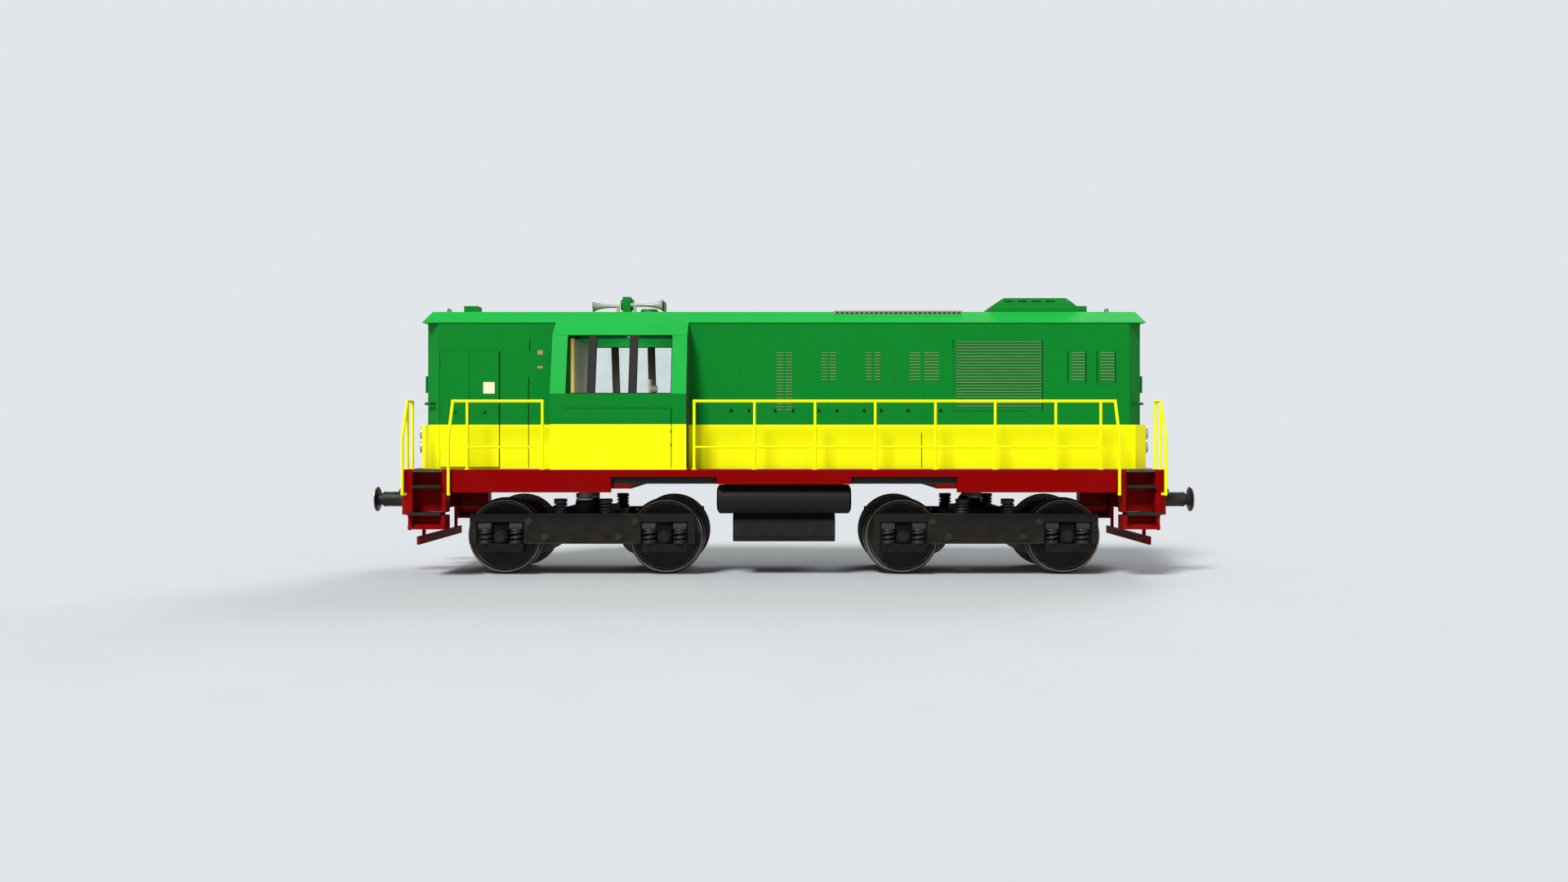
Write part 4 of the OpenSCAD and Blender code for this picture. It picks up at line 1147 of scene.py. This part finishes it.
def rail_foot(shape, x, y, collar):
    """A flange and a collar of one radius round the foot of a railing post."""
    shape.lathe([(0, 0), (0, 0.05), (0.008, 0.05), (0.012, 0.044), (0.012, collar), (0.03, collar - 0.0005),
                 (0.03, 0)], (x, y, DECK_Z), (0, 0, 1), 24)


def frame_details():
    """Bolts, railing feet, and the brake hoses with their cocks and coupling heads."""
    bolts, feet, hoses, cocks = Shape(), Shape(), Shape(), Shape()
    sill_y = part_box("side_sills")[1][1]
    for side in SIDES:
        for x in [-1.0 + 0.2 * k for k in range(11)]:
            bolts.rod((x, side * (sill_y - 0.004), 1.6), (x, side * (sill_y + 0.006), 1.6), 0.012, 6)
        for x in POST_XS:
            rail_foot(feet, x, side * POST_Y, 0.024)
    for end in SIDES:
        for side in SIDES:
            for y in END_POST_YS:
                rail_foot(feet, end * END_POST_X, side * y, 0.027)
            y = side * HOSE_Y
            cocks.lathe([(0, 0), (0, 0.04), (0.03, 0.04), (0.035, 0.028), (0.1, 0.026), (0.11, 0.034),
                         (0.13, 0.034), (0.13, 0)],
                        (end * HEADSTOCK_X, y, HOSE_Z), (end, 0, 0), 24)
            x0 = end * (HEADSTOCK_X + 0.07)
            cocks.rod((x0, y, HOSE_Z), (x0, y, HOSE_Z + 0.07), 0.009, 10)
            x0 = end * (HEADSTOCK_X + 0.12)
            sag = [(x0, y, 1.2), (x0 + end * 0.04, y, 1.19), (x0 + end * 0.075, y, 1.15),
                   (x0 + end * 0.085, y, 1.08),
                   (x0 + end * 0.075, y, 1.0), (x0 + end * 0.06, y, 0.9), (x0 + end * 0.055, y, 0.8)]
            hoses.tube(sag, HOSE_R, 12)
            cocks.lathe([(0, 0), (0, 0.03), (0.03, 0.032), (0.06, 0.038), (0.09, 0.03), (0.1, 0.02),
                         (0.1, 0)],
                        (x0 + end * 0.055, y, 0.805), (0, 0, -1), 20)
            for k in range(4):
                y = side * (0.3 + 0.1 * k)
                bolts.rod((end * HEADSTOCK_X, y, 1.55), (end * (HEADSTOCK_X + 0.01), y, 1.55), 0.014, 6)
    bolts.piece("frame_bolts", "red", slot="red_frame")
    feet.piece("railing_feet", "yellow", slot="yellow_rail")
    hoses.piece("brake_hoses", "rubber", slot="black_buffer", smooth=70)
    cocks.piece("brake_hose_cocks", "dark", slot="black_buffer")


# ---------------------------------------------------------------- light and camera

EYE_DISTANCE = 21.1
EYE_HEIGHT = 2.227
LENS_MM = 27.825


def sun(name, towards, strength, softness):
    """A broad soft light from far away, shining along a direction."""
    light = bpy.data.lights.new(name, "SUN")
    light.energy = strength
    light.angle = math.radians(softness)
    thing = bpy.data.objects.new(name, light)
    thing.rotation_euler = Vector(towards).to_track_quat("-Z", "Y").to_euler()
    bpy.context.scene.collection.objects.link(thing)


def cab_lights():
    """A soft unseen lamp inside each side window, so that the lining and the lockers show."""
    for side in SIDES:
        light = bpy.data.lights.new("cab_light", "POINT")
        light.energy = 34
        light.shadow_soft_size = 0.2
        thing = bpy.data.objects.new("cab_light", light)
        thing.location = (CAB_MID_X - 0.1, side * 1.2, SILL_Z + 0.15)
        thing.visible_camera = False
        thing.visible_transmission = False
        thing.visible_glossy = False
        bpy.context.scene.collection.objects.link(thing)


FLOOR_SHADE = srgb(188, 191, 194)
BACKDROP = srgb(226, 230, 234)


def floor():
    finish = Finish("studio_floor", 0.95, gloss=0.0)
    finish.colour(finish.mix(finish.remap(finish.noise(0.6, 2), 0.3, 0.7), FLOOR_SHADE,
                             shade(FLOOR_SHADE, 1.02)))
    shape = Shape()
    shape.box((-150, 150), (-150, 150), (-0.02, 0.0))
    mesh = bpy.data.meshes.new("floor")
    shape.mesh.to_mesh(mesh)
    mesh.materials.append(finish.material)
    thing = bpy.data.objects.new("floor", mesh)
    bpy.context.scene.collection.objects.link(thing)


def sky(strength, seen):
    """Soft light of one strength, in front of which the camera sees a plain pale backdrop."""
    world = bpy.data.worlds.new("studio")
    world.use_nodes = True
    nodes, links = world.node_tree.nodes, world.node_tree.links
    light = nodes["Background"]
    light.inputs["Color"].default_value = srgb(232, 236, 240)
    light.inputs["Strength"].default_value = strength
    backdrop = nodes.new("ShaderNodeBackground")
    backdrop.inputs["Color"].default_value = seen
    path = nodes.new("ShaderNodeLightPath")
    straight = nodes.new("ShaderNodeMath")
    straight.operation = "MAXIMUM"
    links.new(path.outputs["Is Camera Ray"], straight.inputs[0])
    links.new(path.outputs["Is Transmission Ray"], straight.inputs[1])
    mix = nodes.new("ShaderNodeMixShader")
    links.new(straight.outputs[0], mix.inputs["Fac"])
    links.new(light.outputs[0], mix.inputs[1])
    links.new(backdrop.outputs[0], mix.inputs[2])
    links.new(mix.outputs[0], nodes["World Output"].inputs["Surface"])
    bpy.context.scene.world = world


def studio():
    scene = bpy.context.scene
    scene.view_settings.view_transform = "Standard"
    sky(0.46, BACKDROP)
    sun("key", (0.33, 0.62, -0.71), 3.6, 16)
    sun("back", (-0.35, -0.75, -0.56), 1.6, 30)
    cab_lights()
    floor()
    camera = bpy.data.cameras.new("camera")
    camera.sensor_width = 36
    camera.lens = LENS_MM
    thing = bpy.data.objects.new("camera", camera)
    thing.location = (0, -EYE_DISTANCE, EYE_HEIGHT)
    thing.rotation_euler = (math.pi / 2, 0, 0)
    scene.collection.objects.link(thing)
    scene.camera = thing


def dress_cad():
    dress("hood", "long_hood", "short_hood")
    dress("cab", "cab_shell")
    dress("roof", "cab_roof")
    dress("body", "cab_door_front", "cab_door_rear", "radiator_grilles",
          "hood_door_left_1", "hood_door_left_2", "hood_door_right_1", "hood_door_right_2")
    dress("green", "fan_cowl", "roof_fittings")
    dress("beige", "engine_roof_grille")
    dress("red", "side_sills", "headstocks", "rail_guards")
    dress("steps", "steps")
    dress("beams", "frame_beams")
    dress("deck", "deck")
    dress("dark", "draw_gear", "radiator_fan")
    dress("yellow", "side_railings", "end_railings")
    dress("tank", "fuel_tank", "air_reservoirs")
    dress("post", "cab_window_posts")
    dress("glass", "cab_glass")
    dress("desk", "control_desk", "engine_block")
    dress("locker", "wall_lockers")
    dress("seat", "driver_seats")
    dress("bright", "horns")
    for end in ("front", "rear"):
        dress("black", end + "_bogie_frame")
        dress("box", end + "_axle_boxes")
        dress("motor", end + "_traction_motors")
    round_edges(0.005, "long_hood", "short_hood", "cab_shell", "side_sills", "headstocks", "steps",
                "front_bogie_frame", "rear_bogie_frame", "fuel_tank", "draw_gear", "fan_cowl")


def main():
    studio()
    dress_cad()
    door_leaves()
    seams()
    louvres()
    plates()
    handles()
    wheels()
    for end in ("front", "rear"):
        springs(end)
        bogie_details(end)
    buffers()
    headlamps()
    gaskets()
    wipers()
    cab_lining()
    seats()
    desk_details()
    fan_guard()
    roof_details()
    frame_details()


main()
